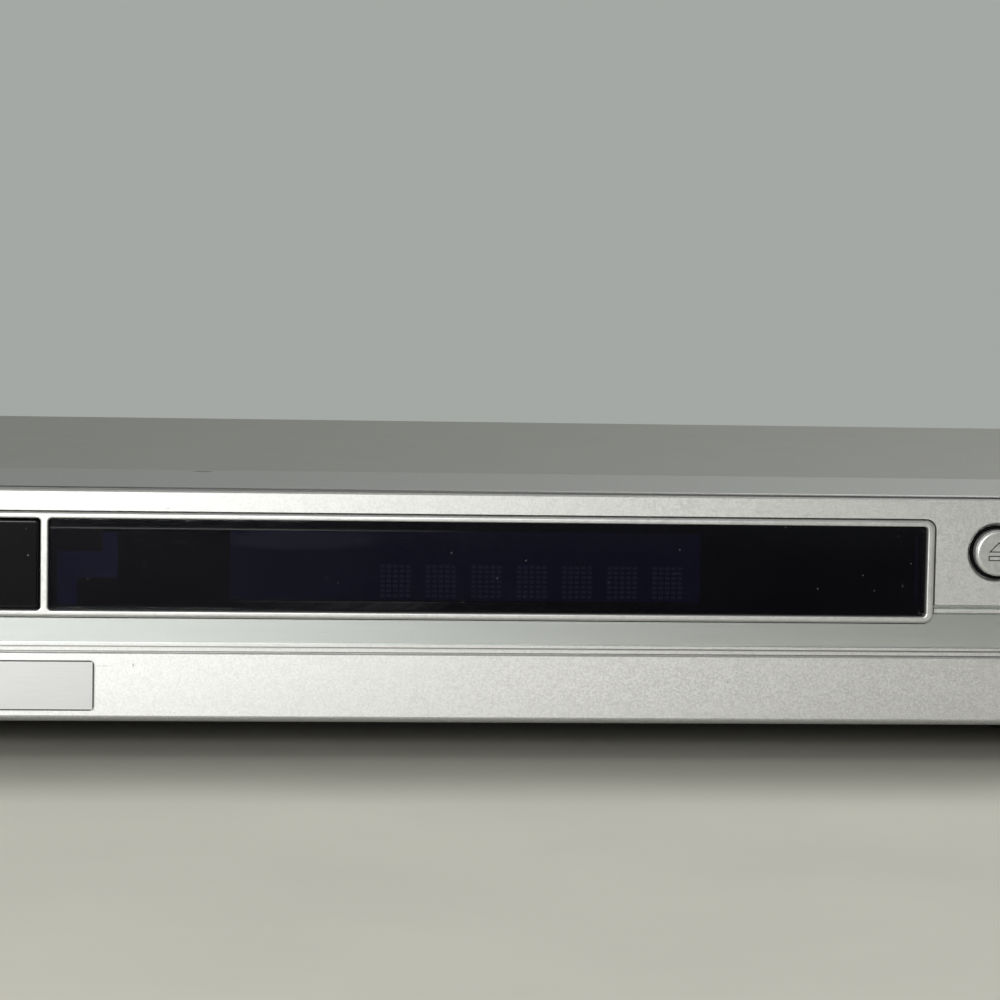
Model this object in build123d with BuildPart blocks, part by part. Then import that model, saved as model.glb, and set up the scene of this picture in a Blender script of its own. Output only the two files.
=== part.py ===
from build123d import *
import os
from math import acos, asin, atan2, cos, degrees, floor, pi, radians, sin, sqrt, tan

# A slim home disc player with a motorised tray. Millimetres, +X to the right, -Y to the front, +Z up.
# The origin is on the table, under the middle of the player.

# The whole player
width = 430.0
depth = 206.0               # from the button caps to the ends of the jacks
height = 43.0
foot_height = 5.2
button_proud = 1.6
jack_proud = 7.4
sheet = 0.8                 # steel of the lid, the pan and the back
slide_gap = 0.3             # between pieces that move past each other
shaft_gap = 0.06            # round a turning shaft
fit_gap = 0.1               # round a piece pushed into its place
press_gap = 0.02            # round a pin or sleeve that sits tight

# Front panel, measured back from its face and down from its top
panel_wall = 2.2
panel_side = 2.0
panel_depth = 28.4          # to the crease where the lid starts
end_corner = 1.4
lid_corner = 0.7
edge_drop = 0.8             # the top strip falls this much towards the face
top_wall = 1.3              # at the face
tongue_depth = 4.0          # under the lid's front edge
seam = 0.25                 # shadow line under the top edge
upper_band = 4.0
strip_recess = 0.9
strip_height = 4.0
ledge_height = 2.8          # the strip beside the frame reaches this much higher
ridge = 0.5
ridge_groove = 0.28
ledge_drop = 1.1            # rounded ledge along the top of the strip beside the frame
ledge_foot = 1.5
edge_step = 0.2             # small flats along the front's edges
lower_round = 1.0
flange_depth = 16.0         # bottom flange, to the pan's front lip
seam_groove = 0.25          # round the silver frame
notch_size = (3.4, 0.6)     # in the top strip, above the middle
notch_depth = 0.6
notch_reach = 25.7          # behind the face
hole_round = 0.35           # edge of each button hole

# Silver frame round the tray door and the window
window_left = -23.6
window_width = 139.3
mullion = 1.2
door_opening = 139.4
border_side = 1.2
border_top = 1.0
border_bottom = 1.05
frame_height = 16.5
frame_depth = 3.4
frame_proud = 0.35
frame_ledge = 0.9
frame_corner = 1.5
opening_corner = 0.6
opening_round = 0.25
lens_bevel = 0.2
lens_set_back = 0.55
lens_thickness = 2.2
door_gap = 0.25
door_thickness = 3.0

# Buttons, by the middle of each cap
button_z_drop = 9.0         # below the top of the front
eject_x = 127.0
play_x = 153.0
pause_x = 175.0
stop_x = 193.0
power_x = -190.0
button_hole = 4.6
button_cap = 3.7
play_hole = 5.6
play_cap = 4.7
button_flange = 1.6         # wider than the hole
button_travel = 0.6
light_x = -181.0
light_radius = 1.3
badge_x = -24.4
badge_size = (16.0, 7.9)
badge_thickness = 0.35
badge_corner = 0.7
badge_top_drop = 5.2        # middle of the plate below the lowest ridge

# Boards behind the front
board = 1.6
front_board_depth = 12.0
front_board_left = -19.0
front_board_right = 205.0
power_switch_left = -208.0
power_switch_right = -172.0
tact_size = 6.0
tact_height = 3.6
plunger_radius = 1.7
plunger_height = 1.2
display_left = 5.0
display_width = 76.0
display_height = 13.6
display_thickness = 5.0
ir_x = 104.0

# Feet
foot_radius = 22.0
foot_x = 150.0
foot_front = 35.0           # behind the face
foot_rear = 24.0            # in front of the back
pad_radius = 14.0
pad_depth = 1.0
pad_proud = 0.6

# Pan
pan_inset = 2.4             # from the lid's outside to the pan's side wall
pan_wall_height = 15.0
pan_lip = 5.8
board_rise = 6.0
dimple_radius = 6.5
side_screw_y = (-50.0, 62.0)
screw_height = 12.0
vent_count = 14
vent_pitch = 4.2
vent_slot = (1.8, 11.0)

# Tray
disc_y = -25.0              # middle of the disc with the tray shut
tray_width = 131.0
tray_rear = 70.0
tray_drop = 0.55            # rim below the door's top
disc_recess = 60.6
disc_recess_depth = 2.5
small_recess = 40.6
small_recess_depth = 1.3
tray_floor = 1.4
tray_skin = 1.8
skirt_depth = 3.7
skirt_wall = 3.0
tray_slot = 17.5
tray_slot_length = 52.5
tray_travel = 138.0
finger_reach = 57.0
finger_radius = 7.0

# Loader frame
loader_side_gap = 0.7
loader_wall = 3.0
loader_rise = 6.0
loader_front = 5.9          # behind the face
loader_rear = 76.0
rail_thickness = 2.0
rail_width = 3.7
bridge_half = 14.0
bridge_thickness = 2.0
gear_deck = 1.6
puck_radius = 12.4
puck_flange = 15.0
puck_flange_thickness = 1.1
hub_foot = 7.0              # the turntable's cone, which fits the disc's hole
hub_top = 3.6

# Loading gears
rack_module = 1.0
rack_gear_teeth = 28
wheel_module = 0.8
wheel_teeth = 38
pinion_teeth = 12
gear_y = -79.0
rack_x = 43.0               # pitch line, from the tray's middle
gear_backlash = 0.3
post_radius = 2.0
pulley_radius = 11.0
motor_pulley_radius = 3.5
motor_pulley_x = -24.0
belt = 1.2
motor_radius = 12.0

# Traverse, in its own plane, where it lies level under a clamped disc
tilt = 6.0                  # degrees, nose down at rest
spindle_reach = 81.0        # from the hinge
platter_height = 13.1
disc_thickness = 1.2
ring_half = 36.0
ring_wall = 3.0
ring_nose = 113.0
ring_tail = 4.0
ring_half_height = 3.0
hinge_radius = 2.0
hinge_reach = 6.3
pin_radius = 1.5
damper_radius = 3.2
damper_height = 4.0
damper_x = 29.0
damper_rear = 9.0
damper_front = 104.0
base_thickness = 1.5
rod_radius = 1.5
rod_x = 20.0
rod_z = 1.0
pickup_inner = 24.0         # lens from the spindle's axis
pickup_travel = 34.0
screw_x = -27.0
screw_z = -2.2
screw_lead = 3.0
slider_travel = 18.0
slider_thickness = 2.5

# Jacks and inlet on the back
jack_left = 18.0
jack_pitch = 14.0
jack_columns = 4
jack_rows = 2
jack_row_pitch = 13.5
jack_low = 12.5             # lower row above the pan's floor
jack_radius = 4.15
jack_bore = 3.3
jack_collar = 5.2
jack_collar_proud = 1.4
jack_neck = 3.95            # inside the collar, which it passes by jack_neck_proud
jack_neck_proud = 0.4
jack_chamfer = 0.3
jack_body = 14.0            # depth of the jacks' housing
jack_seat = 6.0             # how far the barrels reach into it
jack_pin_bore = 1.6
inlet_x = 176.0
inlet_rise = 16.0
inlet_size = (24.0, 15.0)
inlet_socket = (15.8, 8.2)
inlet_depth = 12.0
inlet_pin_pitch = 8.6
inlet_pin_radius = 1.2

# Places that follow from these
face_y = -depth / 2 + button_proud
back_y = depth / 2 - jack_proud
panel_y = back_y - sheet                # outside of the back's sheet
floor_z = foot_height + sheet
lid_z = height - sheet
face_top = height - edge_drop
frame_top = face_top - upper_band
frame_bottom = frame_top - frame_height
ledge_z = frame_bottom + ledge_height
strip_bottom = frame_bottom - strip_height
lower_top = strip_bottom - 2 * ridge - 2 * ridge_groove
crease_y = face_y + panel_depth
pan_front = face_y + flange_depth
pan_half = width / 2 - pan_inset
panel_ceiling = face_top - top_wall
door_right = window_left - mullion
door_left = door_right - door_opening
tray_x = (door_left + door_right) / 2
window_right = window_left + window_width
frame_left = door_left - border_side
frame_right = window_right + border_side
opening_low = frame_bottom + border_bottom
opening_high = frame_top - border_top
frame_mid = ((frame_left + frame_right) / 2, (frame_bottom + frame_top) / 2)
frame_size = (frame_right - frame_left, frame_height)
opening_z = (opening_low + opening_high) / 2
opening_height = opening_high - opening_low
button_z = face_top - button_z_drop
inner_face = strip_recess + panel_wall
post_columns = (
    front_board_right - 4,
    (play_x + eject_x) / 2,
    power_switch_left + 4,
    power_switch_right - 4,
)
board_z = floor_z + board_rise
door_high = opening_high - door_gap
tray_top = door_high - tray_drop
disc_z = tray_top - disc_recess_depth
small_z = disc_z - small_recess_depth
tray_under = small_z - tray_floor
skirt_z = tray_under - skirt_depth
rail_z = skirt_z - slide_gap
tray_front = face_y + fit_gap + door_thickness
bridge_z = tray_top + 2.0
loader_z = floor_z + loader_rise
loader_inner = tray_width / 2 + loader_side_gap
loader_outer = loader_inner + loader_wall
loader_y = face_y + loader_front
hinge_y = disc_y + spindle_reach
level_platter = bridge_z + fit_gap - disc_thickness - 0.2
hinge_z = level_platter - platter_height
front = Plane.XZ.offset(-face_y)        # its +Z comes out of the front
traverse_plane = Plane(
    origin=(tray_x, hinge_y, hinge_z),
    x_dir=(1, 0, 0),
    z_dir=(0, -sin(radians(tilt)), cos(radians(tilt))),
)


def box_between(low, high, mode=Mode.ADD):
    """Adds a box between two opposite corners of the part in hand."""
    size = [b - a for a, b in zip(low, high)]
    with Locations(tuple(low)):
        Box(*size, align=(Align.MIN, Align.MIN, Align.MIN), mode=mode)


def post(radius, z_low, z_high, mode=Mode.ADD):
    """Adds a round post from one height to another, at the locations in hand."""
    with Locations((0, 0, z_low)):
        Cylinder(radius, z_high - z_low, align=(Align.CENTER, Align.CENTER, Align.MIN), mode=mode)


def gear_outline(teeth, module, phase):
    """Points round an involute gear with a tooth at angle phase, in radians."""
    pitch = teeth * module / 2
    base = pitch * cos(radians(20))
    root = pitch - 1.25 * module
    tip = pitch + 0.9 * module
    rolled = tan(radians(20)) - radians(20)
    half_pitch_tooth = (pi / 2 - gear_backlash / module) / teeth + rolled
    radii = [max(base, root) + (tip - max(base, root)) * step / 3 for step in range(4)]
    flank = []
    for radius in radii:
        pressure = acos(min(1.0, base / radius))
        flank.append((radius, half_pitch_tooth - (tan(pressure) - pressure)))
    if root < base:
        flank.insert(0, (root, flank[0][1]))
    points = []
    for tooth in range(teeth):
        middle = phase + tooth * 2 * pi / teeth
        points += [(r * cos(middle - a), r * sin(middle - a)) for r, a in flank]
        points += [(r * cos(middle + a), r * sin(middle + a)) for r, a in reversed(flank)]
    return points


def toothed_disc(x, y, teeth, module, phase, z_low, z_high):
    """Adds a gear whose axis stands at x, y."""
    with BuildSketch(Plane((x, y, z_low)), mode=Mode.PRIVATE) as outline:
        with BuildLine():
            Polyline(*gear_outline(teeth, module, phase), close=True)
        make_face()
    extrude(outline.sketch, amount=z_high - z_low)


os.makedirs("parts", exist_ok=True)

# Front: panel, silver frame, window, door, badge, light

# Side outline of the panel: top strip, seam, upper face, recessed strip, two ridges and lower face
lip = 0.35
panel_points = [
    (crease_y + tongue_depth, panel_ceiling),
    (crease_y + tongue_depth, lid_z),
    (crease_y, lid_z),
    (crease_y, height),
    (face_y + 2 * lip, face_top),
    (face_y + lip, face_top - edge_step),
    (face_y + 2 * lip, face_top - edge_step),
    (face_y + 2 * lip, face_top - edge_step - seam),
    (face_y + lip, face_top - edge_step - seam),
    (face_y, face_top - edge_step - seam - lip),
    (face_y, ledge_z + edge_step),
    (face_y + edge_step, ledge_z),
    (face_y + strip_recess, ledge_z),
    (face_y + strip_recess, ledge_z - ridge_groove),
    (face_y + strip_recess - ridge, ledge_z - 2 * ridge_groove),
    (face_y + strip_recess - ridge, ledge_z - ledge_drop),
    (face_y + strip_recess, ledge_z - ledge_foot),
    (face_y + strip_recess, strip_bottom),
    (face_y + strip_recess - ridge, strip_bottom - edge_step / 2),
    (face_y + strip_recess - ridge, strip_bottom - ridge),
    (face_y + strip_recess, strip_bottom - ridge),
    (face_y + strip_recess, strip_bottom - ridge - ridge_groove),
    (face_y + strip_recess - ridge, strip_bottom - ridge - ridge_groove),
    (face_y + strip_recess - ridge, strip_bottom - 2 * ridge - ridge_groove),
    (face_y + strip_recess, strip_bottom - 2 * ridge - ridge_groove),
    (face_y + strip_recess, lower_top),
    (face_y + 2 * edge_step, lower_top),
    (face_y + edge_step, lower_top - edge_step),
    (face_y, foot_height + lower_round),
]

with BuildPart() as front_panel:
    with BuildSketch(Plane.YZ.offset(-width / 2)):
        with BuildLine():
            outline = Polyline(*panel_points)
            lower_arc = TangentArc(
                outline @ 1, (face_y + lower_round, foot_height), tangent=(0, -1)
            )
            Polyline(
                lower_arc @ 1,
                (face_y + flange_depth, foot_height),
                (face_y + flange_depth, foot_height + panel_wall),
                (face_y + inner_face, foot_height + panel_wall),
                (face_y + inner_face, panel_ceiling),
                panel_points[0],
            )
        make_face()
    extrude(amount=width)
    for side in (-1, 1):
        with BuildSketch(Plane.YZ.offset(side * width / 2)):
            with BuildLine():
                Polyline(
                    (face_y + inner_face, foot_height + lower_round),
                    (face_y + inner_face, panel_ceiling),
                    (crease_y, panel_ceiling),
                    (crease_y, foot_height + lower_round),
                    close=True,
                )
            make_face()
        extrude(amount=-side * panel_side)
        # The tongue stops inside the lid's sides.
        box_between(
            (min(side * width / 2, side * (width / 2 - panel_side)), crease_y, panel_ceiling),
            (
                max(side * width / 2, side * (width / 2 - panel_side)),
                crease_y + tongue_depth,
                lid_z,
            ),
            mode=Mode.SUBTRACT,
        )
    # Surround behind the wall, the recess that the silver frame drops into, and the way through
    with BuildSketch(front.offset(-strip_recess - 0.5)):
        with Locations(frame_mid):
            RectangleRounded(
                frame_size[0] + 2 * seam_groove + 2 * panel_wall,
                frame_size[1] + 2 * seam_groove + 2 * panel_wall,
                frame_corner + panel_wall,
            )
    extrude(amount=-(frame_depth + panel_wall - strip_recess - 0.5))
    with BuildSketch(front.offset(frame_proud)):
        with Locations(frame_mid):
            RectangleRounded(
                frame_size[0] + 2 * seam_groove,
                frame_size[1] + 2 * seam_groove,
                frame_corner + seam_groove,
            )
    extrude(amount=-(frame_depth + frame_proud), mode=Mode.SUBTRACT)
    with BuildSketch(front):
        with Locations(frame_mid):
            RectangleRounded(
                frame_size[0] - 2 * frame_ledge, frame_size[1] - 2 * frame_ledge, frame_corner
            )
    extrude(amount=-flange_depth, mode=Mode.SUBTRACT)
    # Rounded corners seen from the front and from above
    with BuildSketch(front.offset(frame_proud)):
        with Locations((0, (foot_height + height) / 2)):
            RectangleRounded(width, height - foot_height, lid_corner)
    extrude(amount=-(panel_depth + 2 * tongue_depth), mode=Mode.INTERSECT)
    with BuildSketch(Plane.XY):
        with Locations((0, face_y + panel_depth)):
            RectangleRounded(width, 2 * panel_depth, end_corner)
    extrude(amount=height, mode=Mode.INTERSECT)
    # Button and light holes
    for x in (eject_x, pause_x, stop_x, power_x):
        with Locations(front.location * Location((x, button_z, 0))):
            Hole(button_hole, depth=2 * panel_wall + strip_recess)
    with Locations(front.location * Location((play_x, button_z, 0))):
        Hole(play_hole, depth=2 * panel_wall + strip_recess)
    with Locations(front.location * Location((light_x, button_z, 0))):
        Hole(light_radius + fit_gap, depth=2 * panel_wall + strip_recess)
    hole_edges = front_panel.edges().filter_by(GeomType.CIRCLE).filter_by(
        lambda e: abs(e.center().Y - face_y) < 0.01 and e.radius > button_hole - 0.01
    )
    fillet(hole_edges, hole_round)
    box_between(
        (-notch_size[0] / 2, face_y + notch_reach, height - notch_depth),
        (notch_size[0] / 2, face_y + notch_reach + notch_size[1], height),
        mode=Mode.SUBTRACT,
    )
    # Posts that carry the two boards, and latches that stand against the pan's lip
    post_low = foot_height + 7.0
    post_high = panel_ceiling - 4.0
    board_posts = [(x, z) for x in post_columns for z in (post_low, post_high)]
    for x, z in board_posts + [(front_board_left + 7, post_low), (60, post_low)]:
        with Locations((x, face_y + inner_face - 0.5, z)):
            Cylinder(
                2.4,
                front_board_depth - inner_face + 0.5,
                rotation=(-90, 0, 0),
                align=(Align.CENTER, Align.CENTER, Align.MIN),
            )
    for x in (-140, -50, 60, 150):
        box_between(
            (x - 6, pan_front - 1.6, foot_height + panel_wall - 0.5),
            (x + 6, pan_front, floor_z + pan_lip - 1),
        )
front_panel.part.label = "front_panel"
export_step(front_panel.part, "parts/front_panel.step")

with BuildPart() as window_frame:
    with BuildSketch(front.offset(frame_proud)):
        with Locations(frame_mid):
            RectangleRounded(*frame_size, frame_corner)
    extrude(amount=-(frame_proud + frame_depth))
    fillet(window_frame.faces().sort_by(Axis.Y)[0].edges(), 0.5)
    with BuildSketch(front.offset(frame_proud)):
        with Locations(((window_left + window_right) / 2, opening_z)):
            RectangleRounded(window_width, opening_height, opening_corner)
        with Locations((tray_x, opening_z)):
            RectangleRounded(door_opening, opening_height, opening_corner)
    extrude(amount=-(frame_proud + frame_depth), mode=Mode.SUBTRACT)
    inner_edges = window_frame.faces().sort_by(Axis.Y)[0].inner_wires().edges()
    fillet(inner_edges, opening_round)
window_frame.part.label = "window_frame"
export_step(window_frame.part, "parts/window_frame.step")

with BuildPart() as display_window:
    with BuildSketch(front.offset(-lens_set_back)):
        with Locations(((window_left + window_right) / 2, opening_z)):
            RectangleRounded(
                window_width - fit_gap, opening_height - fit_gap, opening_corner - fit_gap / 2
            )
    extrude(amount=-lens_thickness)
    chamfer(display_window.faces().sort_by(Axis.Y)[0].edges(), lens_bevel)
display_window.part.label = "display_window"
export_step(display_window.part, "parts/display_window.step")

with BuildPart() as tray_door:
    with BuildSketch(front.offset(-fit_gap)):
        with Locations((tray_x, opening_z)):
            RectangleRounded(
                door_opening - 2 * door_gap, opening_height - 2 * door_gap, opening_corner
            )
    extrude(amount=-door_thickness)
    fillet(tray_door.faces().sort_by(Axis.Y)[0].edges(), 0.5)
tray_door.part.label = "tray_door"
export_step(tray_door.part, "parts/tray_door.step")

badge_z = lower_top - badge_top_drop
with BuildPart() as badge_plate:
    with BuildSketch(front):
        with Locations((badge_x, badge_z)):
            RectangleRounded(*badge_size, badge_corner)
    extrude(amount=badge_thickness)
badge_plate.part.label = "badge_plate"
export_step(badge_plate.part, "parts/badge_plate.step")

with BuildPart() as standby_light:
    with Locations(front.location * Location((light_x, button_z, 0.3))):
        Cylinder(
            light_radius, panel_wall + 3.0, align=(Align.CENTER, Align.CENTER, Align.MAX)
        )
    fillet(standby_light.faces().sort_by(Axis.Y)[0].edges(), 0.4)
    with Locations(front.location * Location((light_x, button_z, -strip_recess - panel_wall))):
        Cylinder(light_radius + 1.2, 1.0, align=(Align.CENTER, Align.CENTER, Align.MAX))
standby_light.part.label = "standby_light"
export_step(standby_light.part, "parts/standby_light.step")

# Buttons: cap, retaining flange behind the panel and stem to the switch
stem_end = front_board_depth - tact_height - plunger_height - button_travel - 0.15


def button(name, x, cap, hole):
    with BuildPart(front) as piece:
        with BuildSketch(front.offset(button_proud)):
            with Locations((x, button_z)):
                Circle(cap)
        extrude(amount=-(button_proud + inner_face + slide_gap))
        rim = piece.faces().sort_by(Axis.Y)[0]
        fillet(rim.edges(), 0.5)
        with BuildSketch(front.offset(button_proud)):
            with Locations((x, button_z)):
                Circle(cap - 0.9)
        extrude(amount=-0.2, mode=Mode.SUBTRACT)
        with BuildSketch(front.offset(-inner_face - slide_gap)):
            with Locations((x, button_z)):
                Circle(hole + button_flange)
        extrude(amount=-1.2)
        with BuildSketch(front.offset(-inner_face - slide_gap)):
            with Locations((x, button_z)):
                Circle(1.6)
        extrude(amount=-(stem_end - inner_face - slide_gap))
    piece.part.label = name
    export_step(piece.part, f"parts/{name}.step")


button("button_eject", eject_x, button_cap, button_hole)
button("button_play", play_x, play_cap, play_hole)
button("button_pause", pause_x, button_cap, button_hole)
button("button_stop", stop_x, button_cap, button_hole)
button("button_power", power_x, button_cap, button_hole)

# Boards behind the front
front_board_y = face_y + front_board_depth
board_low = foot_height + 4.5
board_high = panel_ceiling - 1.0

with BuildPart() as front_board:
    box_between(
        (front_board_left, front_board_y, board_low),
        (front_board_right, front_board_y + board, board_high),
    )
front_board.part.label = "front_board"
export_step(front_board.part, "parts/front_board.step")

with BuildPart() as power_switch_board:
    box_between(
        (power_switch_left, front_board_y, board_low),
        (power_switch_right, front_board_y + board, board_high),
    )
power_switch_board.part.label = "power_switch_board"
export_step(power_switch_board.part, "parts/power_switch_board.step")


def tact_switch(x):
    box_between(
        (x - tact_size / 2, front_board_y - tact_height, button_z - tact_size / 2),
        (x + tact_size / 2, front_board_y, button_z + tact_size / 2),
    )
    with Locations((x, front_board_y - tact_height, button_z)):
        Cylinder(
            plunger_radius,
            plunger_height,
            rotation=(90, 0, 0),
            align=(Align.CENTER, Align.CENTER, Align.MIN),
        )


with BuildPart() as front_switches:
    for x in (eject_x, play_x, pause_x, stop_x):
        tact_switch(x)
front_switches.part.label = "front_switches"
export_step(front_switches.part, "parts/front_switches.step")

with BuildPart() as power_switch:
    tact_switch(power_x)
power_switch.part.label = "power_switch"
export_step(power_switch.part, "parts/power_switch.step")

display_z = opening_z
display_mid = display_left + display_width / 2
with BuildPart() as display_holder:
    box_between(
        (display_left - 2, front_board_y - 2.0, display_z - display_height / 2 - 1.5),
        (display_left + display_width + 2, front_board_y, display_z + display_height / 2 + 1.5),
    )
    with Locations((display_mid, front_board_y, display_z)):
        Box(display_width - 12, 8.0, display_height - 6, mode=Mode.SUBTRACT)
    for x in (display_left - 2, display_left + display_width + fit_gap):
        box_between(
            (x, front_board_y - 2.0 - display_thickness, display_z - 4),
            (x + 2 - fit_gap, front_board_y - 1.0, display_z + 4),
        )
display_holder.part.label = "display_holder"
export_step(display_holder.part, "parts/display_holder.step")

with BuildPart() as display_tube:
    with BuildSketch(front.offset(-front_board_depth + 2.0)):
        with Locations((display_mid, display_z)):
            RectangleRounded(display_width, display_height, 0.8)
    extrude(amount=display_thickness)
    chamfer(display_tube.faces().sort_by(Axis.Y)[0].edges(), 0.5)
    with Locations(
        (display_left + display_width, front_board_y - 2.0 - display_thickness / 2, display_z + 5.4)
    ):
        Cylinder(0.9, 1.8, rotation=(0, 90, 0), align=(Align.CENTER, Align.CENTER, Align.MIN))
display_tube.part.label = "display_tube"
export_step(display_tube.part, "parts/display_tube.step")

with BuildPart() as ir_receiver:
    with BuildSketch(front.offset(-front_board_depth)):
        with Locations((ir_x, display_z)):
            RectangleRounded(8.0, 9.0, 0.8)
    extrude(amount=5.0)
    with Locations((ir_x, front_board_y - 5.0, display_z + 0.8)):
        Sphere(2.4)
ir_receiver.part.label = "ir_receiver"
export_step(ir_receiver.part, "parts/ir_receiver.step")

# Lid, pan, back and feet
with BuildPart() as top_cover:
    with BuildSketch(Plane.XZ.offset(-(crease_y + 0.15))):
        with BuildLine():
            Polyline(
                (-width / 2, foot_height + 0.6),
                (-width / 2, height),
                (width / 2, height),
                (width / 2, foot_height + 0.6),
                (width / 2 - sheet, foot_height + 0.6),
                (width / 2 - sheet, lid_z),
                (-width / 2 + sheet, lid_z),
                (-width / 2 + sheet, foot_height + 0.6),
                close=True,
            )
        make_face()
    extrude(amount=-(back_y - crease_y - 0.15))
    outer = top_cover.edges().filter_by(Axis.Y).group_by(Axis.Z)[-1]
    fillet(outer, lid_corner)
    # Dimples that reach in to the pan's walls and sink the screws
    for side in (-1, 1):
        for y in side_screw_y:
            with Locations((side * (width / 2), y, floor_z + screw_height)):
                with Locations(Rotation(0, 90 * side, 0)):
                    Cylinder(dimple_radius, pan_inset, align=(Align.CENTER, Align.CENTER, Align.MAX))
                    Cylinder(
                        dimple_radius - sheet,
                        pan_inset - sheet,
                        align=(Align.CENTER, Align.CENTER, Align.MAX),
                        mode=Mode.SUBTRACT,
                    )
                    Cylinder(1.6, 2 * pan_inset, mode=Mode.SUBTRACT)
    # Vent slots in both sides
    with BuildSketch(Plane.YZ):
        with Locations((sum(side_screw_y) / 2, (floor_z + pan_wall_height + lid_z) / 2 + 1)):
            with GridLocations(vent_pitch, 0, vent_count, 1):
                SlotOverall(vent_slot[1], vent_slot[0], rotation=90)
    extrude(amount=width, both=True, mode=Mode.SUBTRACT)
    # Tabs bent down over the back
    for x in (-width / 2 + 30, 0, width / 2 - 30):
        box_between((x - 9, panel_y, lid_z - 7.5), (x + 9, back_y, lid_z + 0.1))
        with Locations((x, back_y, lid_z - 4.0)):
            Cylinder(1.6, 4 * sheet, rotation=(90, 0, 0), mode=Mode.SUBTRACT)
top_cover.part.label = "top_cover"
export_step(top_cover.part, "parts/top_cover.step")

board_holes = [(8.0, -20.0), (114.0, -20.0), (8.0, 70.0), (114.0, 70.0)]
power_holes = [(132.0, -36.0), (202.0, -36.0), (132.0, 84.0), (202.0, 84.0)]
loader_holes = [
    (tray_x + side * (loader_outer + 4.5), y)
    for side in (-1, 1)
    for y in (loader_y + 14, loader_rear - 12)
]
foot_places = [
    (side * foot_x, y) for side in (-1, 1) for y in (face_y + foot_front, back_y - foot_rear)
]

jack_z = floor_z + jack_low
jack_places = [
    (jack_left + jack_pitch * column, jack_z + jack_row_pitch * row)
    for column in range(jack_columns)
    for row in range(jack_rows)
]
inlet_z = floor_z + inlet_rise
tab_screws = [(-width / 2 + 30, lid_z - 4.0), (0, lid_z - 4.0), (width / 2 - 30, lid_z - 4.0)]
edge_screws = [
    (-width / 2 + 14, floor_z + 3.0),
    (-60, floor_z + 3.0),
    (110, floor_z + 3.0),
    (width / 2 - 14, floor_z + 3.0),
    (jack_left + jack_pitch * (jack_columns - 0.5) + 2.0, jack_z + jack_row_pitch / 2),
]

with BuildPart() as chassis:
    box_between((-pan_half, pan_front, foot_height), (pan_half, panel_y - sheet, floor_z))
    for side in (-1, 1):
        edge = side * pan_half
        box_between(
            (min(edge, edge - side * sheet), pan_front, floor_z),
            (max(edge, edge - side * sheet), panel_y - sheet, floor_z + pan_wall_height),
        )
    box_between((-pan_half, pan_front, floor_z), (pan_half, pan_front + sheet, floor_z + pan_lip))
    box_between(
        (-pan_half, panel_y - 2 * sheet, floor_z), (pan_half, panel_y - sheet, floor_z + 6.0)
    )
    # Gap in the lip for the loading motor
    with BuildSketch(Plane.XZ.offset(-pan_front)):
        with Locations((tray_x + motor_pulley_x, floor_z + pan_lip)):
            Rectangle(2 * motor_radius + 4, 2 * pan_lip)
    extrude(amount=-sheet, mode=Mode.SUBTRACT)
    # Pressed ribs and vents in the floor
    with BuildSketch(Plane.XY.offset(floor_z)):
        with Locations((60, -55), (160, -48)):
            SlotOverall(70, 5)
    extrude(amount=0.7, taper=30)
    with BuildSketch(Plane.XY.offset(foot_height)):
        with Locations((165, 20)):
            with GridLocations(6.0, 0, 9, 1):
                SlotOverall(40, 2.2, rotation=90)
    extrude(amount=sheet, mode=Mode.SUBTRACT)
    for x, y in board_holes + power_holes + loader_holes:
        with Locations((x, y, 0)):
            post(3.2, floor_z, board_z)
            post(1.2, floor_z, board_z, mode=Mode.SUBTRACT)
    for x, y in foot_places:
        with Locations((x, y, 0)):
            post(3.1, foot_height, floor_z, mode=Mode.SUBTRACT)
    for side in (-1, 1):
        for y in side_screw_y:
            with Locations((side * pan_half, y, floor_z + screw_height)):
                Cylinder(1.6, 4 * sheet, rotation=(0, 90, 0), mode=Mode.SUBTRACT)
    with BuildSketch(Plane.XZ.offset(-panel_y)):
        with Locations(*edge_screws):
            Circle(1.25)
    extrude(amount=3 * sheet, mode=Mode.SUBTRACT)
chassis.part.label = "chassis"
export_step(chassis.part, "parts/chassis.step")

back = Plane.XZ.offset(-panel_y)
with BuildPart() as rear_panel:
    with BuildSketch(back):
        with Locations((0, (foot_height + lid_z) / 2)):
            Rectangle(width - 2 * sheet - 2 * fit_gap, lid_z - foot_height)
        with Locations(*jack_places):
            Circle(jack_collar + fit_gap, mode=Mode.SUBTRACT)
        with Locations((inlet_x, inlet_z)):
            RectangleRounded(
                inlet_size[0] + 2 * fit_gap, inlet_size[1] + 2 * fit_gap, 1.0, mode=Mode.SUBTRACT
            )
        with Locations(*(tab_screws + edge_screws)):
            Circle(1.6, mode=Mode.SUBTRACT)
        with Locations((-110, (floor_z + lid_z) / 2)):
            with GridLocations(4.5, 12.0, 14, 2):
                SlotOverall(8.0, 2.0, rotation=90, mode=Mode.SUBTRACT)
    extrude(amount=sheet)
rear_panel.part.label = "rear_panel"
export_step(rear_panel.part, "parts/rear_panel.step")

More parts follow.
